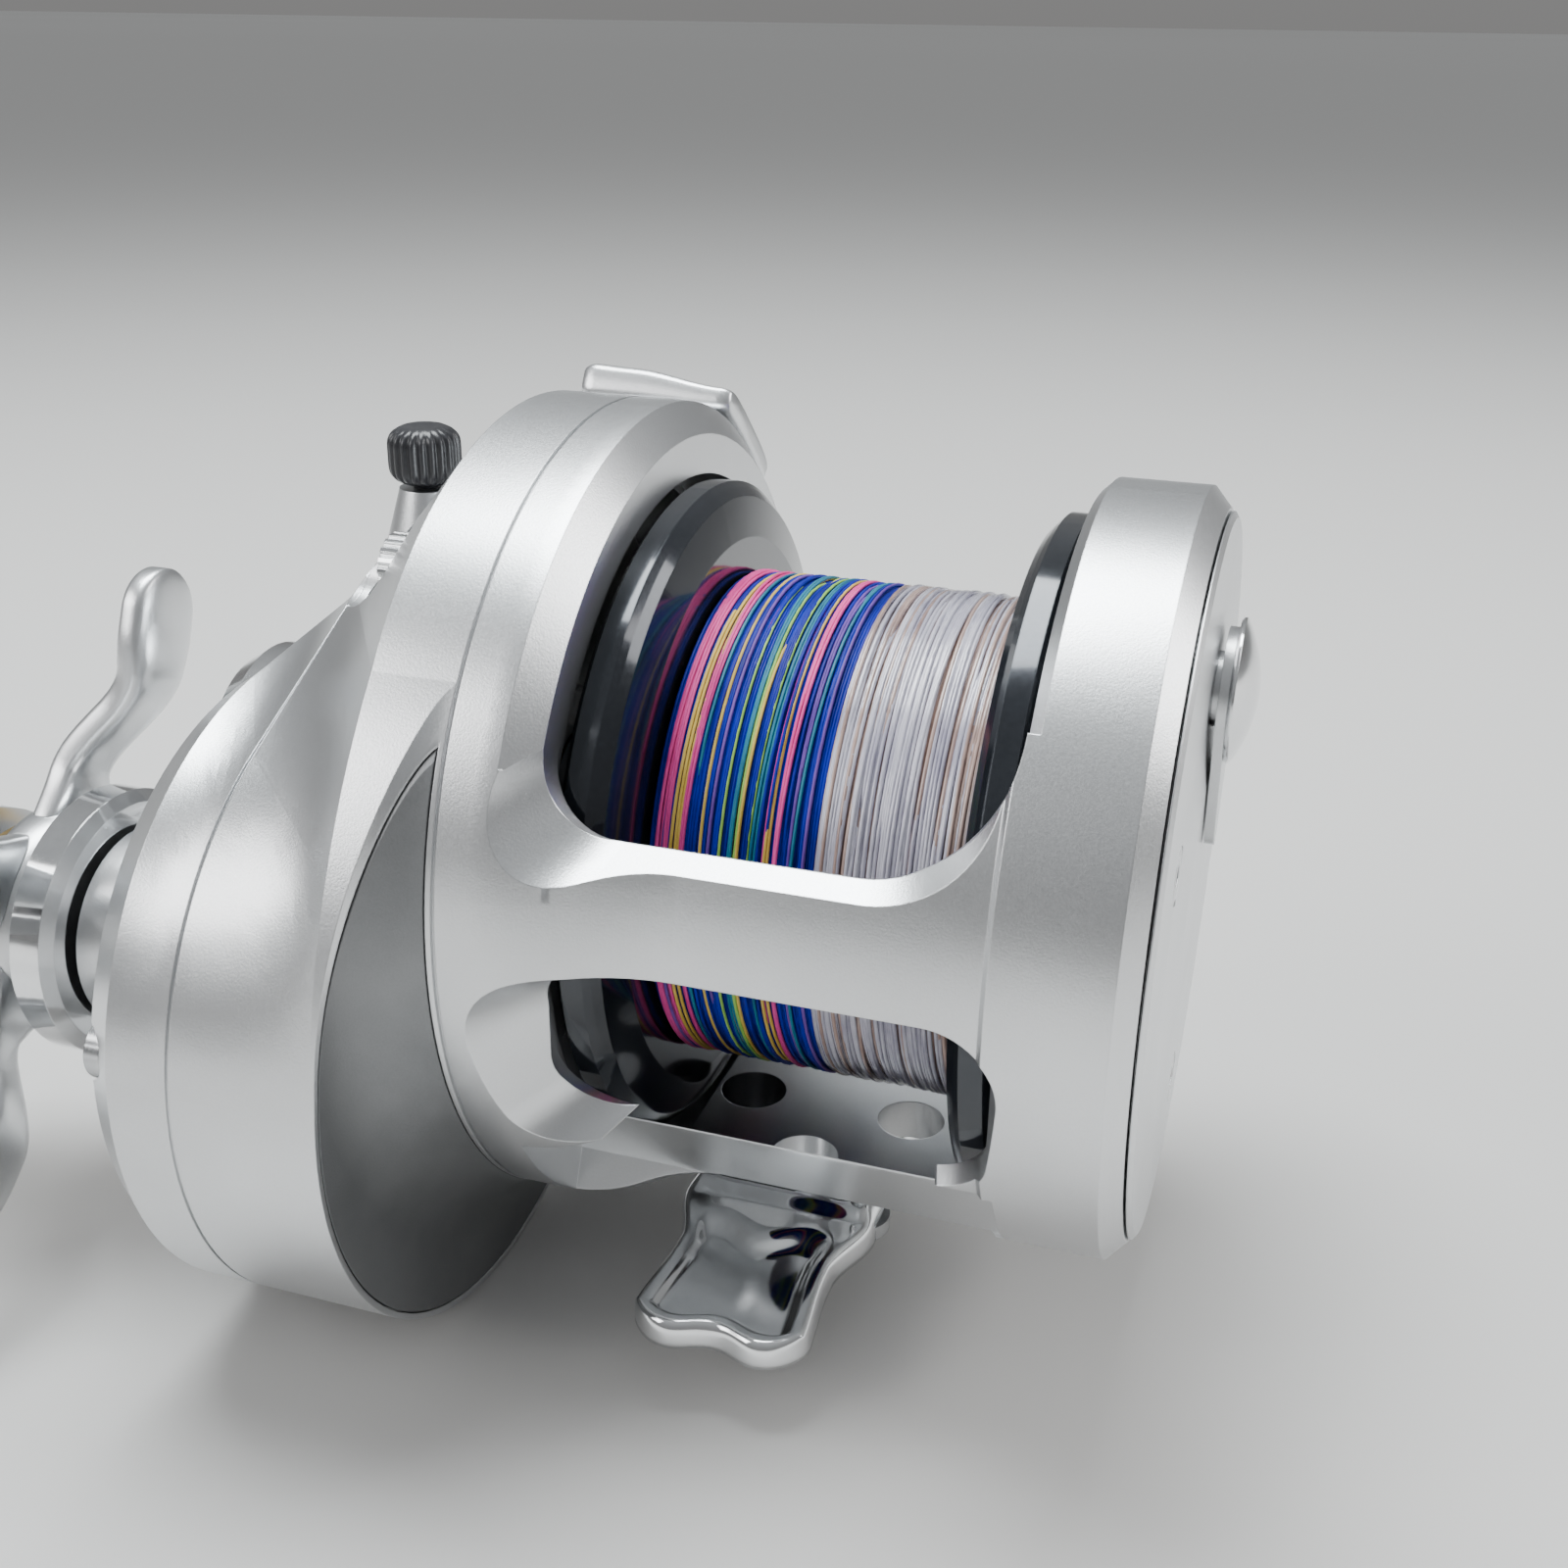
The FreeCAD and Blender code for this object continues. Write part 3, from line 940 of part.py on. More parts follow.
def make_details():
    """Spool-side bearings, tension cap, click knob, take-down screw, pawl and screws."""
    bearing("spool_bearing_left", float(D["frame_left"]) - 4.2, 2.02, 5.3, 3.6)
    bearing("pinion_bearing", -48.6, 3.0, 5.4, 3.2)
    low = float(D["cover_face"])
    turned("tension_cap", [
        (low - 10.4, 0), (low - 8.6, 0), (low - 8.6, 3.0), (low - 0.4, 3.0), (low - 0.4, 9.0), (low - 1.0, 9.6),
        (low - 7.4, 9.6), (low - 9.6, 8.2, 12.0, -1), (low - 10.4, 3.0),
    ])
    turned("tension_disc", [(low - 8.5, 0), (low - 7.0, 0), (low - 7.0, 2.6), (low - 8.5, 2.6)])
    turned("tension_sleeve", tube(low - 6.6, low - 0.1, 2.2, 2.9))
    stem_hole = Part.makeCylinder(1.26, 14, FreeCAD.Vector(CLICK["x"], CLICK["y"], CLICK["z"] - 1))
    feature("click_boss", click_cone().cut(stem_hole))
    knob = Part.makeCylinder(3.25, 5.2, FreeCAD.Vector(0, 0, 10.3))
    knob = knob.common(Part.makeSphere(3.9, FreeCAD.Vector(0, 0, 12.9)))
    for index in range(18):
        angle = 2 * math.pi * index / 18
        knob = knob.cut(Part.makeCylinder(0.28, 7, FreeCAD.Vector(
            3.3 * math.cos(angle), 3.3 * math.sin(angle), 9.8)))
    knob = knob.fuse(Part.makeCylinder(1.2, 10.7, FreeCAD.Vector(0, 0, 0.3)))
    feature("click_knob", knob.removeSplitter(), **CLICK)
    head = rod(-37.9, -35.2, 2.9)
    for index in range(20):
        angle = 2 * math.pi * index / 20
        head = head.cut(rod(-39, -35, 0.25, 2.96 * math.cos(angle), 2.96 * math.sin(angle)))
    head = head.fuse(rod(-35.3, -31.4, 1.2))
    feature("takedown_screw", head.removeSplitter(), y=TAKEDOWN[0], z=TAKEDOWN[1])
    pawl_y, pawl_z = float(D["gear_y"]) + 6.0, float(D["gear_z"]) - 16.4
    pawl = slab(hull((0.0, 0.0, 2.4), (-6.4, 4.0, 0.62)), -39.0, -38.1).cut(rod(-40, -37, 1.06))
    feature("anti_reverse_pawl", pawl, y=pawl_y, z=pawl_z)
    feature("pawl_pin", rod(-39.1, D["case_floor"], 1.0, pawl_y, pawl_z))
    feature("pawl_spring", coil(-37.6, -34.4, 1.25, 0.2, 3, pawl_y, pawl_z))
    screws = [screw(-37.2, float(D["cover_face"]) + 0.1, 1.2, 2.5, 1.4, y, z) for y, z in case_screw_places()]
    feature("case_screws", Part.makeCompound(screws))


make_frame()
make_case()
make_plate()
make_cover()
make_foot()
make_foot_screws()
make_spool()
make_gears()
make_clutch()
make_drive()
make_star()
make_handle()
make_palm_side()
make_details()
doc.recompute()
faulty = [item.Label for item in doc.Objects if {"Invalid", "Error"} & set(item.State)]
faulty += [part.Label for part in SUBPARTS if part.Shape.isNull() or not part.Shape.isValid()]
if faulty:
    raise RuntimeError("these did not build: " + ", ".join(faulty))
os.makedirs("parts", exist_ok=True)
for part in SUBPARTS:
    part.Shape.exportStep(f"parts/{part.Label}.step")
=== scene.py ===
import json
import math
import random

import bpy
import numpy as np
from mathutils import Matrix, Vector


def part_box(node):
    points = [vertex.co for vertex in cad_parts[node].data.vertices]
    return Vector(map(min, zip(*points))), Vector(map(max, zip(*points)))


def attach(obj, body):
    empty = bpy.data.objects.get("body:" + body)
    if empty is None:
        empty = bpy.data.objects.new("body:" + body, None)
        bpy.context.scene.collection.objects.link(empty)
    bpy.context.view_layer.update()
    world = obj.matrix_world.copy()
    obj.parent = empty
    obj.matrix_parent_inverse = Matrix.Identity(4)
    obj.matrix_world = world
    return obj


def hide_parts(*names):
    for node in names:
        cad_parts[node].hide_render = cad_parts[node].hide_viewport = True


# An overhead star-drag reel. Its shapes are worked out in millimetres from the middle of the spool's
# axis, and at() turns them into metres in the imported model's frame.
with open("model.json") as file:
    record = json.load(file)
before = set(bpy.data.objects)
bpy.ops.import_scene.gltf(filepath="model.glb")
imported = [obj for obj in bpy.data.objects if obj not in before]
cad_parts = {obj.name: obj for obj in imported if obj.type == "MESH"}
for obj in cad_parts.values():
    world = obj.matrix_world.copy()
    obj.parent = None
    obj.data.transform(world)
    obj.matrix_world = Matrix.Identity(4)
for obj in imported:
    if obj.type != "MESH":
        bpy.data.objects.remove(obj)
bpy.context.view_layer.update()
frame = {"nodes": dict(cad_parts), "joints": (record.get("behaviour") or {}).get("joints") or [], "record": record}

MM = 0.001
TURN = 2 * math.pi


def joint_place(name):
    """Where a joint's axis is in the model's frame, in millimetres."""
    place = next(joint["pos_m"] for joint in frame["joints"] if joint["name"] == name)
    return np.round(np.array(place) / MM, 3)


# the spool's axis, and from there the axes of the gear and star, of the grip and of the click knob
AXIS = joint_place("spool_spin")
GEAR = (joint_place("handle_spin") - AXIS) * [0, 1, 1]
GRIP = (joint_place("knob_spin") - AXIS) * [0, 1, 1]
CLICK = (joint_place("click_knob_turn") - AXIS) * [1, 1, 0]


def at(points):
    """Millimetres about the spool axis to metres in the model's frame."""
    return (np.asarray(points, float) + AXIS) * MM


# ---------------------------------------------------------------- camera, floor and light

CAMERA_PLACE = (0.04008, -0.13404, 0.10066)
CAMERA_LENS = 40.59
# degrees: from looking straight down, the camera is rolled, tipped up and turned about the upright axis
CAMERA_ROLL, CAMERA_TIP, CAMERA_TURN = 0.804, 66.509, 17.804
FLOOR_GAP = 0.0002
FLOOR_HALF = 30.0


def make_camera():
    data = bpy.data.cameras.new("camera")
    data.lens = CAMERA_LENS
    data.sensor_width = 36.0
    data.clip_start = 0.005
    camera = bpy.data.objects.new("camera", data)
    bpy.context.scene.collection.objects.link(camera)
    facing = (Matrix.Rotation(math.radians(CAMERA_TURN), 4, "Z")
              @ Matrix.Rotation(math.radians(CAMERA_TIP), 4, "X")
              @ Matrix.Rotation(math.radians(CAMERA_ROLL), 4, "Z"))
    camera.matrix_world = Matrix.Translation(CAMERA_PLACE) @ facing
    bpy.context.scene.camera = camera


def area_light(name, place, aim, size, power, colour=(1.0, 1.0, 1.0)):
    """Rectangular lamp at place, turned towards aim."""
    data = bpy.data.lights.new(name, "AREA")
    data.shape = "RECTANGLE"
    data.size, data.size_y = size
    data.energy = power
    data.color = colour
    lamp = bpy.data.objects.new(name, data)
    bpy.context.scene.collection.objects.link(lamp)
    lamp.location = place
    lamp.rotation_mode = "QUATERNION"
    lamp.rotation_quaternion = (Vector(aim) - Vector(place)).to_track_quat("-Z", "Y")


def make_studio():
    """Soft surroundings, darker below and paler above, with three lamps."""
    world = bpy.data.worlds.new("studio")
    bpy.context.scene.world = world
    world.use_nodes = True
    nodes, links = world.node_tree.nodes, world.node_tree.links
    nodes.clear()
    out = nodes.new("ShaderNodeOutputWorld")
    back = nodes.new("ShaderNodeBackground")
    back.inputs["Strength"].default_value = 0.50
    ramp = nodes.new("ShaderNodeValToRGB")
    split = nodes.new("ShaderNodeSeparateXYZ")
    coord = nodes.new("ShaderNodeTexCoord")
    spread = nodes.new("ShaderNodeMapRange")
    spread.inputs["From Min"].default_value = -1.0
    stops = ramp.color_ramp.elements
    stops[0].position, stops[0].color = 0.40, (0.36, 0.345, 0.33, 1)
    stops[1].position, stops[1].color = 0.96, (0.95, 0.98, 1.0, 1)
    middle = stops.new(0.62)
    middle.color = (0.55, 0.56, 0.57, 1)
    links.new(coord.outputs["Generated"], split.inputs[0])
    links.new(split.outputs["Z"], spread.inputs["Value"])
    links.new(spread.outputs[0], ramp.inputs[0])
    links.new(ramp.outputs[0], back.inputs[0])
    links.new(back.outputs[0], out.inputs[0])
    area_light("key", (-0.12, 0.10, 0.62), (0.0, 0.0, 0.03), (0.42, 0.30), 6.6, (0.93, 0.98, 1.0))
    area_light("fill", (-0.45, -0.35, 0.35), (0.0, 0.0, 0.03), (0.40, 0.30), 2.2)
    area_light("rim", (0.50, 0.20, 0.30), (0.02, 0.0, 0.04), (0.30, 0.30), 2.0)


def make_floor():
    """Plain pale floor just under the gear case, which is the lowest piece but for one arm of the star."""
    half, level = FLOOR_HALF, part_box("handle_side_case")[0][2] - FLOOR_GAP
    mesh = bpy.data.meshes.new("floor")
    mesh.from_pydata([(-half, -half, level), (half, -half, level), (half, half, level), (-half, half, level)],
                     [], [(0, 1, 2, 3)])
    floor = bpy.data.objects.new("floor", mesh)
    bpy.context.scene.collection.objects.link(floor)
    paint = bpy.data.materials.new("floor_paint")
    paint.use_nodes = True
    nodes, links = paint.node_tree.nodes, paint.node_tree.links
    shader = nodes["Principled BSDF"]
    noise = nodes.new("ShaderNodeTexNoise")
    noise.inputs["Scale"].default_value = 6.0
    ramp = nodes.new("ShaderNodeValToRGB")
    ramp.color_ramp.elements[0].color = (0.60, 0.59, 0.575, 1)
    ramp.color_ramp.elements[1].color = (0.66, 0.65, 0.64, 1)
    shader.inputs["Roughness"].default_value = 0.75
    links.new(noise.outputs[0], ramp.inputs[0])
    links.new(ramp.outputs[0], shader.inputs["Base Color"])
    mesh.materials.append(paint)


# ---------------------------------------------------------------- materials

def surface(name, dark, light, rough, metal=0.0, grain=2500.0, bump=0.10, edge=0.2, patches=90.0,
            stretch=(1, 1, 1), coat=0.0, sheen=0.0, transmission=0.0, weave=0.0, specular=0.5):
    """Procedural finish: patchy colour, grainy roughness, fine bump or a weave, and broken edges.

    grain, patches and weave are scales, so a larger one is finer; edge is a radius in millimetres.
    """
    made = bpy.data.materials.new(name)
    made.use_nodes = True
    nodes, links = made.node_tree.nodes, made.node_tree.links
    shader = nodes["Principled BSDF"]
    shader.inputs["Metallic"].default_value = metal
    shader.inputs["Coat Weight"].default_value = coat
    shader.inputs["Coat Roughness"].default_value = 0.06
    shader.inputs["Sheen Weight"].default_value = sheen
    shader.inputs["Transmission Weight"].default_value = transmission
    shader.inputs["Specular IOR Level"].default_value = specular
    coord = nodes.new("ShaderNodeTexCoord")
    mapping = nodes.new("ShaderNodeMapping")
    mapping.inputs["Scale"].default_value = stretch
    links.new(coord.outputs["Object"], mapping.inputs[0])

    def noise(scale, detail=3.0):
        item = nodes.new("ShaderNodeTexNoise")
        item.inputs["Scale"].default_value = scale
        item.inputs["Detail"].default_value = detail
        links.new(mapping.outputs[0], item.inputs["Vector"])
        return item.outputs[0]

    coarse, fine = noise(patches), noise(grain, 2.0)
    blend = nodes.new("ShaderNodeMath")
    blend.operation = "MULTIPLY_ADD"
    blend.inputs[1].default_value = 0.35
    links.new(fine, blend.inputs[0])
    links.new(coarse, blend.inputs[2])
    ramp = nodes.new("ShaderNodeValToRGB")
    ramp.color_ramp.elements[0].position, ramp.color_ramp.elements[0].color = 0.42, (*dark, 1)
    ramp.color_ramp.elements[1].position, ramp.color_ramp.elements[1].color = 0.85, (*light, 1)
    links.new(blend.outputs[0], ramp.inputs[0])
    links.new(ramp.outputs[0], shader.inputs["Base Color"])
    spread = nodes.new("ShaderNodeMapRange")
    spread.inputs["To Min"].default_value, spread.inputs["To Max"].default_value = rough
    links.new(fine, spread.inputs["Value"])
    links.new(spread.outputs[0], shader.inputs["Roughness"])
    height = fine
    if weave:
        pattern = nodes.new("ShaderNodeTexWave")
        pattern.wave_type, pattern.bands_direction = "BANDS", "DIAGONAL"
        pattern.inputs["Scale"].default_value = weave
        pattern.inputs["Distortion"].default_value = 0.6
        pattern.inputs["Detail"].default_value = 2.0
        links.new(coord.outputs["Object"], pattern.inputs["Vector"])
        total = nodes.new("ShaderNodeMath")
        links.new(pattern.outputs[1], total.inputs[0])
        links.new(fine, total.inputs[1])
        height = total.outputs[0]
    relief = nodes.new("ShaderNodeBump")
    relief.inputs["Strength"].default_value = bump
    relief.inputs["Distance"].default_value = 0.0001
    links.new(height, relief.inputs["Height"])
    if edge:
        broken = nodes.new("ShaderNodeBevel")
        broken.samples = 4
        broken.inputs["Radius"].default_value = edge * MM
        links.new(broken.outputs[0], relief.inputs["Normal"])
    links.new(relief.outputs[0], shader.inputs["Normal"])
    return made


def make_finishes():
    """The reel's metals, plastics and rubber, by short name."""
    silver = dict(metal=1.0, grain=5200.0, patches=55.0, edge=0.14)
    machined = dict(metal=1.0, stretch=(5, 1, 1), edge=0.12)
    return {
        "satin": surface("satin_silver", (0.66, 0.67, 0.68), (0.74, 0.75, 0.76), (0.26, 0.38), **silver),
        "plate": surface("grey_plate", (0.20, 0.205, 0.21), (0.26, 0.265, 0.27), (0.40, 0.52),
                         metal=0.85, grain=6000.0, bump=0.16, edge=0.15),
        "polished": surface("polished_silver", (0.76, 0.77, 0.78), (0.84, 0.85, 0.86), (0.06, 0.13),
                            metal=1.0, grain=1500.0, bump=0.02, edge=0.14),
        "gunmetal": surface("black_anodised", (0.012, 0.015, 0.02), (0.03, 0.034, 0.042), (0.10, 0.17),
                            metal=0.55, bump=0.02, coat=0.5),
        "steel": surface("machined_steel", (0.50, 0.51, 0.52), (0.64, 0.65, 0.66), (0.16, 0.30),
                         grain=1400.0, **machined),
        "brass": surface("machined_brass", (0.62, 0.44, 0.18), (0.78, 0.58, 0.28), (0.18, 0.32),
                         grain=1300.0, **machined),
        "bronze": surface("bearing_bronze", (0.42, 0.27, 0.14), (0.55, 0.37, 0.21), (0.25, 0.40),
                          metal=1.0, grain=1300.0, edge=0.1),
        "carbon": surface("carbon_weave", (0.018, 0.018, 0.02), (0.05, 0.05, 0.055), (0.35, 0.55),
                          bump=0.4, edge=0, weave=900.0),
        "plastic": surface("dark_plastic", (0.04, 0.04, 0.045), (0.07, 0.07, 0.075), (0.38, 0.52),
                           bump=0.12),
        "black": surface("black_moulding", (0.010, 0.010, 0.012), (0.028, 0.028, 0.032), (0.24, 0.38),
                         edge=0.1),
        "rubber": surface("grip_rubber", (0.016, 0.016, 0.018), (0.034, 0.034, 0.036), (0.55, 0.72),
                          bump=0.35, grain=3500.0, sheen=0.15),
    }


def strand_finish(name, dark, light, rough, coat=0.0, transmission=0.0, bump=0.5, specular=0.5):
    """A wound line: colour and gloss change quickly from turn to turn and slowly round the spool."""
    return surface(name, dark, light, rough, grain=4200.0, stretch=(1, 0.16, 0.16), patches=700.0,
                   bump=bump, edge=0, coat=coat, transmission=transmission, specular=specular)


# material slot in the record: finish for the CAD nodes in it
SLOT_FINISH = {
    "satin_aluminium": "satin", "polished_metal": "polished", "dark_plate": "plate", "gunmetal": "gunmetal",
    "steel": "steel", "brass": "brass", "bronze": "bronze", "carbon_fibre": "carbon",
    "dark_plastic": "plastic", "black_knob": "black", "grip_rubber": "rubber",
    "braided_line": "plastic", "clear_line": "plastic",
}


def paint_nodes(finishes):
    """Gives every CAD node the finish of its slot."""
    slots = {row["node"]: row["material_slot"] for row in frame["record"]["subparts"]}
    for node, item in frame["nodes"].items():
        finish = finishes[SLOT_FINISH[slots[node]]]
        for place in item.material_slots:
            place.material = finish
        if not item.material_slots:
            item.data.materials.append(finish)


# ---------------------------------------------------------------- mesh building

def piece(name, points, faces, body, finish, replaces=()):
    """Smooth-shaded mesh of points in metres that rides on a body, and may stand for CAD nodes."""
    mesh = bpy.data.meshes.new(name)
    mesh.from_pydata([tuple(point) for point in points], [], faces)
    mesh.validate()
    mesh.materials.append(finish)
    mesh.polygons.foreach_set("use_smooth", [True] * len(mesh.polygons))
    made = bpy.data.objects.new(name, mesh)
    bpy.context.scene.collection.objects.link(made)
    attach(made, body)
    if replaces:
        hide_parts(*replaces)


def tubes(paths, radius, sides):
    """Closed round tubes along several paths of points (millimetres about the spool axis)."""
    points, faces = [], []
    for path in paths:
        along = np.gradient(path, axis=0)
        along /= np.linalg.norm(along, axis=1)[:, None]
        outward = path * [0, 1, 1]
        outward /= np.linalg.norm(outward, axis=1)[:, None]
        sideways = np.cross(along, outward)
        sideways /= np.linalg.norm(sideways, axis=1)[:, None]
        outward = np.cross(sideways, along)
        base, count = sum(len(block) for block in points), len(path)
        turn = np.arange(sides) * TURN / sides
        ring = (path[:, None, :] + radius * (np.cos(turn)[None, :, None] * outward[:, None, :]
                                             + np.sin(turn)[None, :, None] * sideways[:, None, :]))
        points.append(ring.reshape(-1, 3))
        for step in range(count - 1):
            for side in range(sides):
                after = (side + 1) % sides
                faces.append((base + step * sides + side, base + step * sides + after,
                              base + (step + 1) * sides + after, base + (step + 1) * sides + side))
        faces.append(tuple(base + side for side in reversed(range(sides))))
        faces.append(tuple(base + (count - 1) * sides + side for side in range(sides)))
    return np.concatenate(points), faces


def winding(low, high, radius, pitch, steps=72):
    """Helix round the spool from low to high."""
    turns = (high - low) / pitch
    count = int(turns * steps)
    share = np.linspace(0, 1, count)
    angle = share * turns * TURN
    ripple = radius + 0.03 * np.sin(angle * 0.37) + 0.02 * np.sin(angle * 1.13)
    return np.stack([low + (high - low) * share, ripple * np.cos(angle), ripple * np.sin(angle)], axis=1)


def wrap(rng, middle, slope, radius, start, span, limits, steps=60):
    """One turn or part turn of line lying over the windings, its ends tucked under."""
    share = np.linspace(0, 1, steps)
    angle = start + span * share
    tuck = 0.45 * (np.clip(1 - share / 0.06, 0, 1) ** 2 + np.clip(1 - (1 - share) / 0.06, 0, 1) ** 2)
    wander = 0.10 * np.sin(angle * rng.uniform(0.7, 2.2) + rng.uniform(0, TURN))
    x = np.clip(middle + slope * (share - 0.5) + wander, *limits)
    reach = radius - tuck
    return np.stack([x, reach * np.cos(angle), reach * np.sin(angle)], axis=1)


def smooth(value, low, high):
    """0 below low, 1 above high, easing between."""
    share = np.clip((np.asarray(value, float) - low) / (high - low), 0, 1)
    return share * share * (3 - 2 * share)


def skin(rings):
    """Points and faces over a run of equal rings of points, capped at both ends."""
    rings = np.asarray(rings)
    count, sides = rings.shape[:2]
    faces = []
    for step in range(count - 1):
        low, high = step * sides, (step + 1) * sides
        for side in range(sides):
            after = (side + 1) % sides
            faces.append((low + side, low + after, high + after, high + side))
    faces.append(tuple(reversed(range(sides))))
    faces.append(tuple((count - 1) * sides + side for side in range(sides)))
    return rings.reshape(-1, 3), faces


def lathe(profile, sides, reach=None):
    """Turned skin about the X axis; profile is (x, radius), reach(x, angle) scales the radius."""
    angle = np.arange(sides) * TURN / sides
    rings = []
    for x, radius in profile:
        spread = radius * (reach(x, angle) if reach else np.ones(sides))
        rings.append(np.stack([np.full(sides, x), spread * np.cos(angle), spread * np.sin(angle)], axis=1))
    return skin(rings)


def join(shapes):
    """Several (points, faces) as one."""
    points, faces, base = [], [], 0
    for block, group in shapes:
        points.append(block)
        faces += [tuple(base + index for index in face) for face in group]
        base += len(block)
    return np.concatenate(points), faces


def spun(points, degrees):
    """Points turned about the X axis."""
    turn = math.radians(degrees)
    across, up = math.cos(turn), math.sin(turn)
    x, y, z = points.T
    return np.stack([x, y * across - z * up, y * up + z * across], axis=1)


def pebble(sides, power):
    """Unit ring between a circle (power 2) and a square (large power)."""
    angle = np.arange(sides) * TURN / sides
    across, up = np.cos(angle), np.sin(angle)
    return (np.sign(across) * np.abs(across) ** (2 / power), np.sign(up) * np.abs(up) ** (2 / power))


# ---------------------------------------------------------------- finer shapes for simple pieces

STAR_ARMS = 5
STAR_LEAN = -22.5          # degrees from upright to the first arm
ARM_ROOT, ARM_PAD, ARM_TIP = 7.0, 28.8, 33.0
ARM_PLANE = -74.7          # x of an arm where it leaves the hub
ARM_BEND = 6.4             # how far its pad stands towards the reel


def arm_bend(place):
    """How far an arm has bent towards the reel at a distance from the hub's axis."""
    return ARM_BEND * float(smooth(place, 12.5, 23.5))


def star_arm():
    """One arm along +Z: a waist, an easy bend towards the reel and a rounded finger pad."""
    across, up = pebble(40, 3.4)
    easing = np.sin(np.linspace(0.05, 1, 16) * math.pi / 2)
    pad = ARM_TIP - ARM_PAD
    rings = []
    for place in np.concatenate([np.linspace(ARM_ROOT, ARM_PAD, 40), ARM_PAD + pad * easing]):
        half = 3.0 + 2.1 * (1 - smooth(place, ARM_ROOT, 14.0)) + 1.2 * smooth(place, 19.0, 27.0)
        thick = 1.7 - 0.15 * smooth(place, 24.0, ARM_TIP)
        end = math.sqrt(max(1 - (max(place - ARM_PAD, 0.0) / (pad + 0.05)) ** 2, 0.0))
        lean = math.atan((arm_bend(place + 0.1) - arm_bend(place - 0.1)) / 0.2)
        depth = thick * (0.35 + 0.65 * end ** 0.6)
        rings.append(np.stack([ARM_PLANE + arm_bend(place) + up * depth * math.cos(lean), across * half * end,
                               place - up * depth * math.sin(lean)], axis=1))
    return skin(rings)


def make_star(finish):
    """Star wheel: a turned hub with its arms."""
    hub = [(-77.0, 4.3), (-77.0, 8.6), (-76.8, 9.3), (-76.3, 9.8), (-75.6, 10.0), (-73.4, 10.0), (-72.6, 9.6),
           (-71.9, 9.2), (-71.3, 8.9), (-71.2, 8.6), (-71.2, 4.3)]
    ring, faces = lathe(hub + hub[:1], 96)
    shapes = [(ring, faces[:-2])]
    points, faces = star_arm()
    shapes += [(spun(points, STAR_LEAN - 360 / STAR_ARMS * index), faces) for index in range(STAR_ARMS)]
    points, faces = join(shapes)
    piece("star_wheel", at(points + GEAR), faces, "star_group", finish, ("star_drag",))


BAR_FROM, BAR_LENGTH = -34.5, 15.2      # along x
BAR_UNDER, BAR_TOP = 35.7, 40.3         # distances from the spool's axis
BAR_LEAN = 41.3                         # degrees from upright
STEM_FROM, STEM_TO = -34.9, -31.4       # along x
STEM_REACH, STEM_LEAN = 35.6, 37.0      # distance from the spool's axis, and degrees from upright


def make_thumb_bar(finish):
    """Clutch bar: a saddle over the ring whose free end curls down, on a square stem."""
    sides, rounding = 56, 0.10
    across, up = pebble(sides, 4.2)
    ease = np.sin(np.linspace(0.08, 1, 14) * math.pi / 2) * rounding
    rings = []
    for share in np.concatenate([ease, np.linspace(0.12, 0.88, 36), 1 - ease[::-1]]):
        end = min(share, 1 - share) / rounding
        plump = math.sqrt(1 - (1 - min(end, 1.0)) ** 2)
        top = BAR_TOP - 1.7 * float(smooth(share, 0.35, 1.0)) - 0.35 * math.sin(math.pi * share)
        thick = (top - BAR_UNDER) / 2
        saddle = 0.5 * (1 - across ** 2) * (up > 0)
        radius = (top + BAR_UNDER) / 2 + up * thick * (0.55 + 0.45 * plump) - saddle
        angle = math.radians(BAR_LEAN) + across * math.radians(11.4 - 1.2 * (1 - plump))
        rings.append(np.stack([np.full(sides, BAR_FROM + BAR_LENGTH * share), radius * np.sin(angle),
                               radius * np.cos(angle)], axis=1))
    stem_sides = 16
    across, up = pebble(stem_sides, 6.0)
    stem = [np.stack([np.full(stem_sides, x), 3.5 * across, STEM_REACH + 1.5 * up], axis=1)
            for x in (STEM_FROM, STEM_TO)]
    block, block_faces = skin(stem)
    points, faces = join([skin(rings), (spun(block, -STEM_LEAN), block_faces)])
    piece("thumb_bar", at(points), faces, "clutch_group", finish, ("clutch_lever",))


KNOB_MIDDLE, KNOB_HALF, KNOB_RADIUS = 26.9, 2.6, 3.35      # the barrel's height above the spool's axis
KNOB_TEETH = 22
KNOB_STEM_FROM, KNOB_STEM_RADIUS = 14.3, 1.2


def make_click_knob(finish):
    """Barrel knob with a serrated rim, on its stem; both are turned about X and then stood upright."""
    barrel = [(KNOB_MIDDLE + KNOB_HALF * step, KNOB_RADIUS * (1 - 0.42 * abs(step) ** 5))
              for step in np.linspace(-1, 1, 25)]
    barrel = [(24.35, KNOB_STEM_RADIUS), *barrel, (29.52, 1.3), (29.40, 0.9), (29.40, 0.05)]

    def serrate(x, angle):
        rim = smooth(KNOB_HALF + 0.1 - abs(x - KNOB_MIDDLE), 0.0, 0.8)
        return 1 - 0.085 * rim * (0.5 - 0.5 * np.cos(KNOB_TEETH * angle)) ** 1.5

    stem = [(KNOB_STEM_FROM, KNOB_STEM_RADIUS), (24.4, KNOB_STEM_RADIUS)]
    points, faces = join([lathe(barrel, 12 * KNOB_TEETH, serrate), lathe(stem, 24)])
    points = points[:, [1, 2, 0]] + CLICK
    piece("click_button", at(points), faces, "click_group", finish, ("click_knob",))


GRIP_FROM, GRIP_TO = -87.4, -125.4      # the rubber's ends along x
GRIP_FLUTES = 12


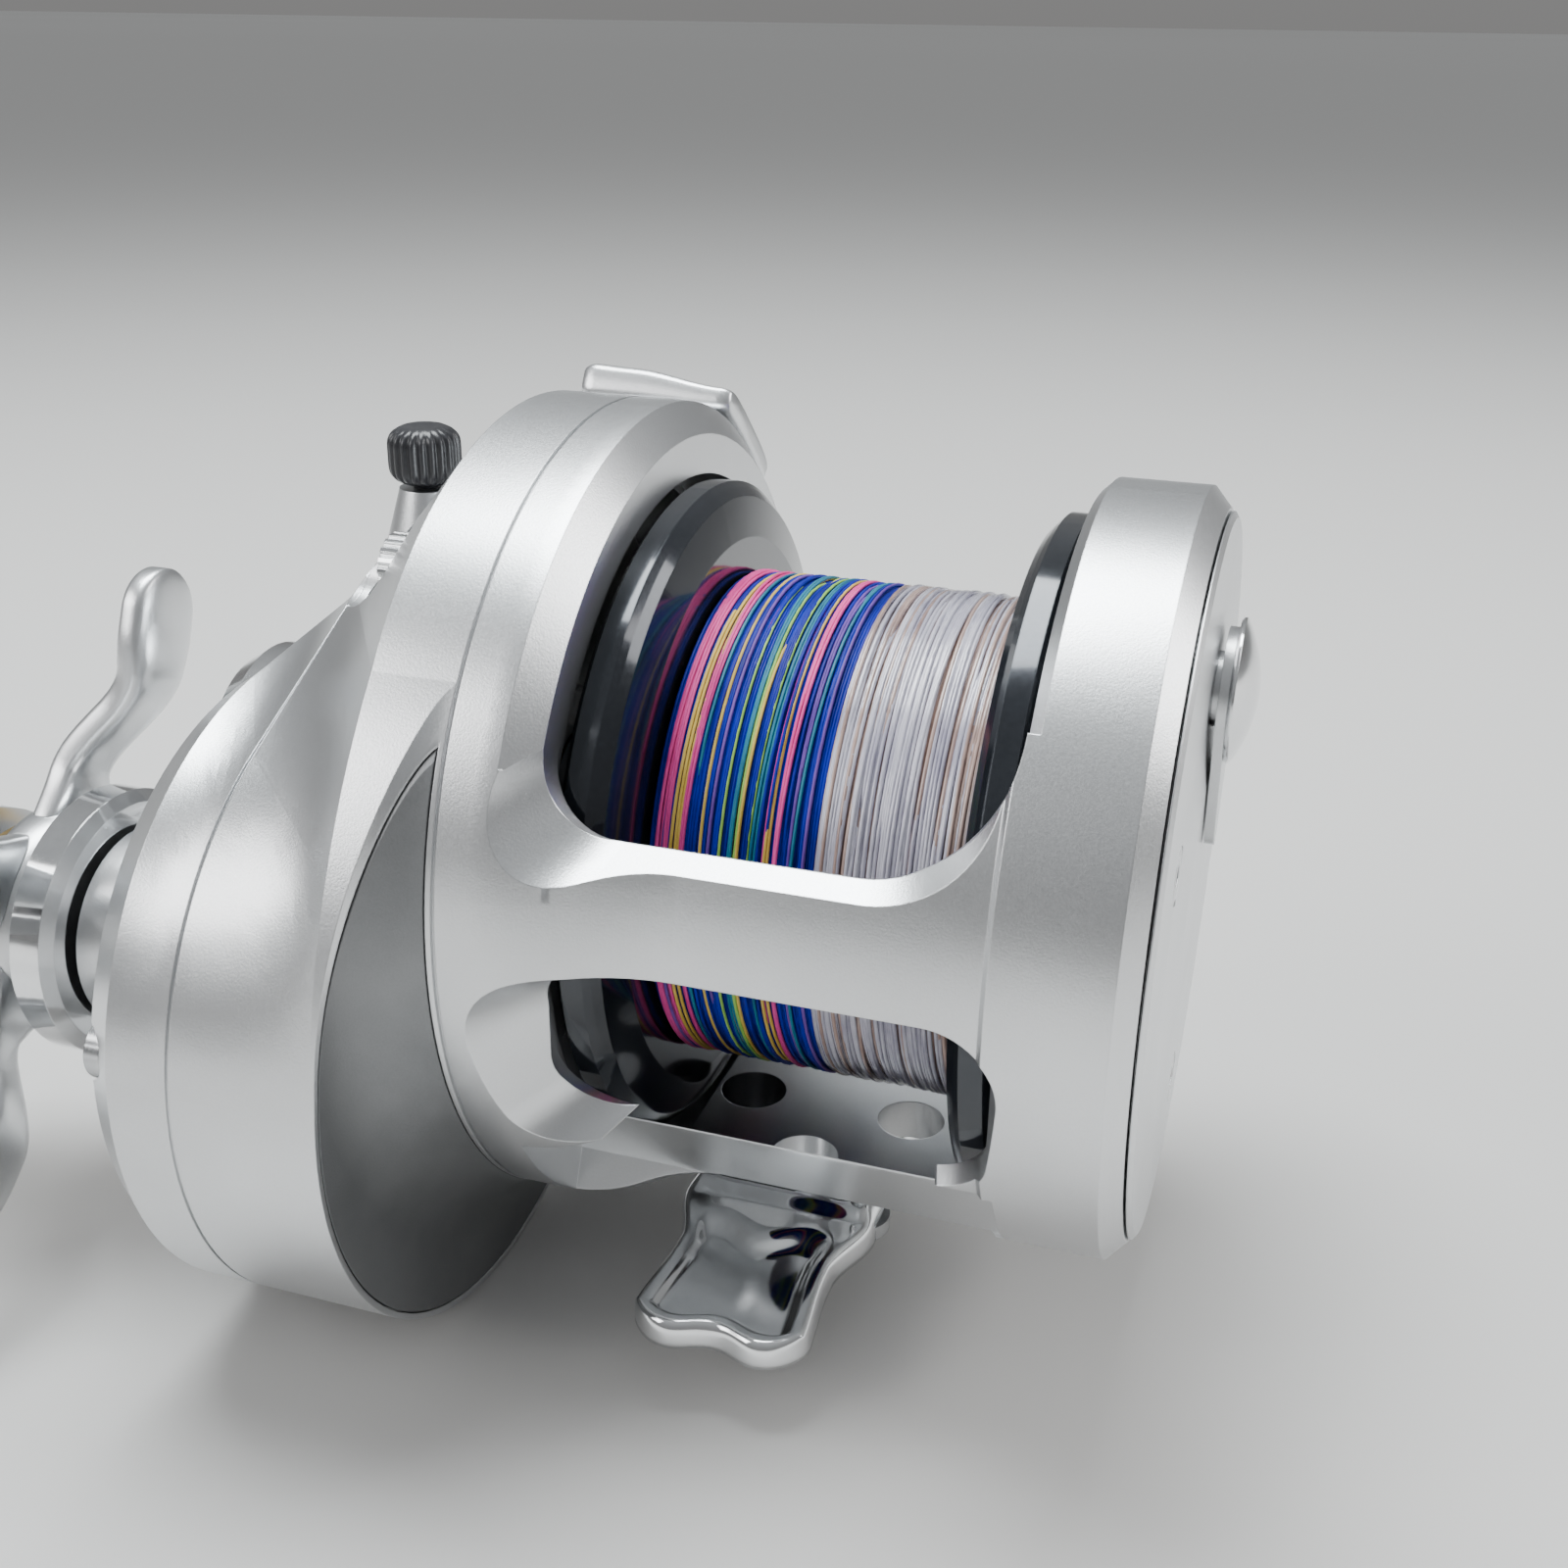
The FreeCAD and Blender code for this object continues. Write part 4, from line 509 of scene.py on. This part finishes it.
def make_grip(finish):
    """Soft grip with flutes round its belly, hollow round its post and recessed at both ends."""
    share = np.linspace(0, 1, 60)
    radius = (5.9 + 1.2 * smooth(share, 0.0, 0.1) + 2.9 * smooth(share, 0.05, 0.45)
              + 2.5 * smooth(share, 0.35, 0.72) - 3.5 * smooth(share, 0.84, 1.0))
    belly = zip(GRIP_FROM + (GRIP_TO - GRIP_FROM) * share, radius)
    profile = [(GRIP_FROM - 4.4, 2.9), (GRIP_FROM - 4.4, 5.0), (GRIP_FROM - 0.1, 5.0), *belly, (GRIP_TO, 7.1),
               (GRIP_TO + 1.4, 7.0), (GRIP_TO + 1.4, 5.2), (GRIP_TO + 4.6, 5.2), (GRIP_TO + 4.6, 2.9)]

    def flutes(x, angle):
        down = GRIP_FROM - x
        deep = smooth(down, 6.0, 14.0) * (1 - smooth(down, 30.0, 36.0)) * (x > GRIP_TO + 5)
        return 1 - 0.055 * deep * (0.5 + 0.5 * np.cos(GRIP_FLUTES * angle)) ** 3

    points, faces = lathe(profile + profile[:1], 16 * GRIP_FLUTES, flutes)
    piece("soft_grip", at(points + GRIP), faces[:-2], "grip_group", finish, ("handle_knob",))


FOOT_HALF = 27.5                        # half the foot's length, along y
FOOT_EDGE, FOOT_PAD, FOOT_BOSS = 0.55, 2.55, 3.42      # heights above the seat
FOOT_GRID = (72, 220)


def make_tongue(finish):
    """Reel foot: flat seat below, dished and rimmed pads above, with a wavy lip at each end."""
    across, along = FOOT_GRID
    side = np.sin(np.linspace(-1, 1, across) * math.pi / 2)
    line = np.sin(np.linspace(-1, 1, along) * math.pi / 2)
    u, v = np.meshgrid(side, line, indexing="ij")
    ripple = np.cos(TURN * u)
    corner = np.clip((np.abs(u) - 0.66) / 0.34, 0, 1)
    lip = FOOT_HALF - 0.55 - 0.5 * ripple - 2.6 * (1 - np.sqrt(1 - corner ** 2 * 0.999))
    y = v * lip
    out = np.abs(y)
    wide = 9.0 - 1.9 * smooth(out, 9.0, 16.0) + 0.6 * smooth(out, 17.0, 25.0)
    rim = np.minimum(wide * (1 - np.abs(u)), lip * (1 - np.abs(v)))
    dish = smooth(rim, 1.3, 2.6) * smooth(out, 12.2 + 0.9 * ripple, 15.4 + 0.9 * ripple)
    height = FOOT_PAD - 1.0 * dish - 0.15 * smooth(out, 10.0, 20.0)
    boss = (1 - smooth(out, 8.0, 10.2)) * smooth(rim, 0.4, 1.4)
    height = height * (1 - boss) + FOOT_BOSS * boss
    round_off = np.clip(rim / 0.8, 0, 1)
    height = FOOT_EDGE + (height - FOOT_EDGE) * np.sqrt(1 - (1 - round_off) ** 2)
    # the middle of the foot's seat is the model's own origin
    top = np.stack([u * wide, y, height], axis=2).reshape(-1, 3)
    low = top * [1, 1, 0]
    count, faces = across * along, []
    for i in range(across - 1):
        for j in range(along - 1):
            a, b = i * along + j, (i + 1) * along + j
            faces.append((a, b, b + 1, a + 1))
            faces.append((count + a, count + a + 1, count + b + 1, count + b))
    border = [(i, 0) for i in range(across)]
    border += [(across - 1, j) for j in range(1, along)]
    border += [(i, along - 1) for i in range(across - 2, -1, -1)]
    border += [(0, j) for j in range(along - 2, 0, -1)]
    chain = [i * along + j for i, j in border]
    for first, second in zip(chain, chain[1:] + chain[:1]):
        faces.append((first, count + first, count + second, second))
    points = np.concatenate([top, low]) * MM
    piece("foot_tongue", points, faces, "reel", finish, ("reel_foot",))


# ---------------------------------------------------------------- line on the spool

LANE = (-12.15, 12.15)      # from flange to flange
LEADER_FROM = 1.0           # the braid ends and the leader begins here
# dark and light shade of each colour of braid
BRAID = {
    "royal": ((0.001, 0.004, 0.16), (0.003, 0.018, 0.42)),
    "pink": ((0.60, 0.03, 0.22), (0.88, 0.10, 0.40)),
    "yellow": ((0.52, 0.34, 0.05), (0.80, 0.58, 0.14)),
    "lime": ((0.16, 0.42, 0.06), (0.42, 0.72, 0.16)),
    "teal": ((0.01, 0.10, 0.20), (0.03, 0.24, 0.34)),
    "violet": ((0.08, 0.03, 0.26), (0.22, 0.10, 0.44)),
}
# colour, middle of its lane, lane's half width, number of turns
LANES = [
    ("pink", -11.55, 0.22, 3), ("pink", -10.85, 0.22, 3), ("violet", -11.2, 0.1, 1), ("royal", -10.5, 0.1, 1),
    ("yellow", -10.15, 0.18, 2), ("yellow", -9.75, 0.15, 1), ("pink", -9.35, 0.2, 3), ("teal", -8.95, 0.1, 1),
    ("royal", -8.2, 0.6, 6), ("violet", -7.9, 0.3, 1), ("yellow", -7.9, 0.1, 1), ("royal", -7.0, 0.5, 4),
    ("pink", -6.75, 0.15, 1), ("lime", -6.2, 0.35, 1), ("yellow", -5.85, 0.3, 2), ("teal", -5.5, 0.3, 2),
    ("lime", -5.1, 0.3, 2), ("yellow", -4.75, 0.2, 1), ("royal", -4.4, 0.3, 3), ("lime", -4.15, 0.2, 1),
    ("teal", -3.8, 0.3, 2), ("royal", -3.3, 0.3, 3), ("pink", -2.95, 0.1, 1), ("yellow", -2.55, 0.2, 2),
    ("pink", -2.1, 0.25, 3), ("royal", -1.6, 0.3, 2), ("violet", -1.2, 0.3, 2), ("teal", -0.7, 0.35, 2),
    ("royal", -0.1, 0.4, 4), ("violet", 0.5, 0.3, 1),
]


BRAID_RADIUS, LEADER_RADIUS = 0.14, 0.185      # of the line itself, in the loose turns
BRAID_REACH, LEADER_REACH = 20.62, 20.52       # from the spool's axis to the even turns beneath
LEADER_TURNS = 84


def spool_line(name, paths, radius, sides, finish, replaces=()):
    """Turns of one line as one piece that goes round with the spool."""
    points, faces = tubes(paths, radius, sides)
    piece(name, at(points), faces, "spool_group", finish, replaces)


def make_braid(rng):
    """Coloured braid: an even bed of turns, and loose turns of every colour over it."""
    finishes = {name: strand_finish("braid_" + name, *shades, (0.34, 0.55), specular=0.25)
                for name, shades in BRAID.items()}
    bed = winding(LANE[0], LEADER_FROM, BRAID_REACH, 0.25)
    spool_line("braid_bed", [bed], 0.15, 6, finishes["royal"], ("line_braid",))
    paths = {name: [] for name in BRAID}
    for colour, middle, half, count in LANES:
        for _ in range(count):
            paths[colour].append(wrap(
                rng, middle + rng.uniform(-half, half), rng.uniform(-0.7, 0.7),
                BRAID_REACH + 0.2 + rng.uniform(0, 0.2), rng.uniform(0, TURN),
                TURN * rng.uniform(0.75, 0.98), (LANE[0], LEADER_FROM + 0.4)))
    for colour, group in paths.items():
        spool_line("braid_" + colour, group, BRAID_RADIUS, 6, finishes[colour])


def make_leader(rng):
    """Clear leader beside the braid, warmer in tone here and there and by the flange."""
    clear = strand_finish("leader_clear", (0.40, 0.38, 0.50), (0.84, 0.82, 0.92), (0.05, 0.18),
                          coat=0.8, transmission=0.25, bump=0.2, specular=0.8)
    warm = strand_finish("leader_warm", (0.36, 0.24, 0.22), (0.72, 0.52, 0.45), (0.08, 0.22),
                         coat=0.8, transmission=0.25, bump=0.2, specular=0.8)
    bed = winding(LEADER_FROM, LANE[1], LEADER_REACH, 0.36)
    spool_line("leader_bed", [bed], 0.2, 7, warm, ("line_leader",))
    paths = {"clear": [], "warm": []}
    for index in range(LEADER_TURNS):
        share = (index + rng.random()) / LEADER_TURNS
        middle = LEADER_FROM + 0.2 + (LANE[1] - LEADER_FROM - 0.3) * share
        by_flange = middle > 11.0
        name = "warm" if rng.random() < 0.12 + 0.5 * by_flange else "clear"
        paths[name].append(wrap(
            rng, middle, rng.uniform(-1.1, 1.1), 20.75 + rng.uniform(0, 0.3), rng.uniform(0, TURN),
            TURN * rng.uniform(0.6, 0.97), (LEADER_FROM - 0.6, LANE[1])))
    for name, finish in (("clear", clear), ("warm", warm)):
        spool_line("leader_" + name, paths[name], LEADER_RADIUS, 7, finish)


make_camera()
make_studio()
make_floor()
finishes = make_finishes()
paint_nodes(finishes)
make_star(finishes["satin"])
make_thumb_bar(finishes["satin"])
make_click_knob(finishes["black"])
make_grip(finishes["rubber"])
make_tongue(finishes["polished"])
draws = random.Random(11)
make_braid(draws)
make_leader(draws)
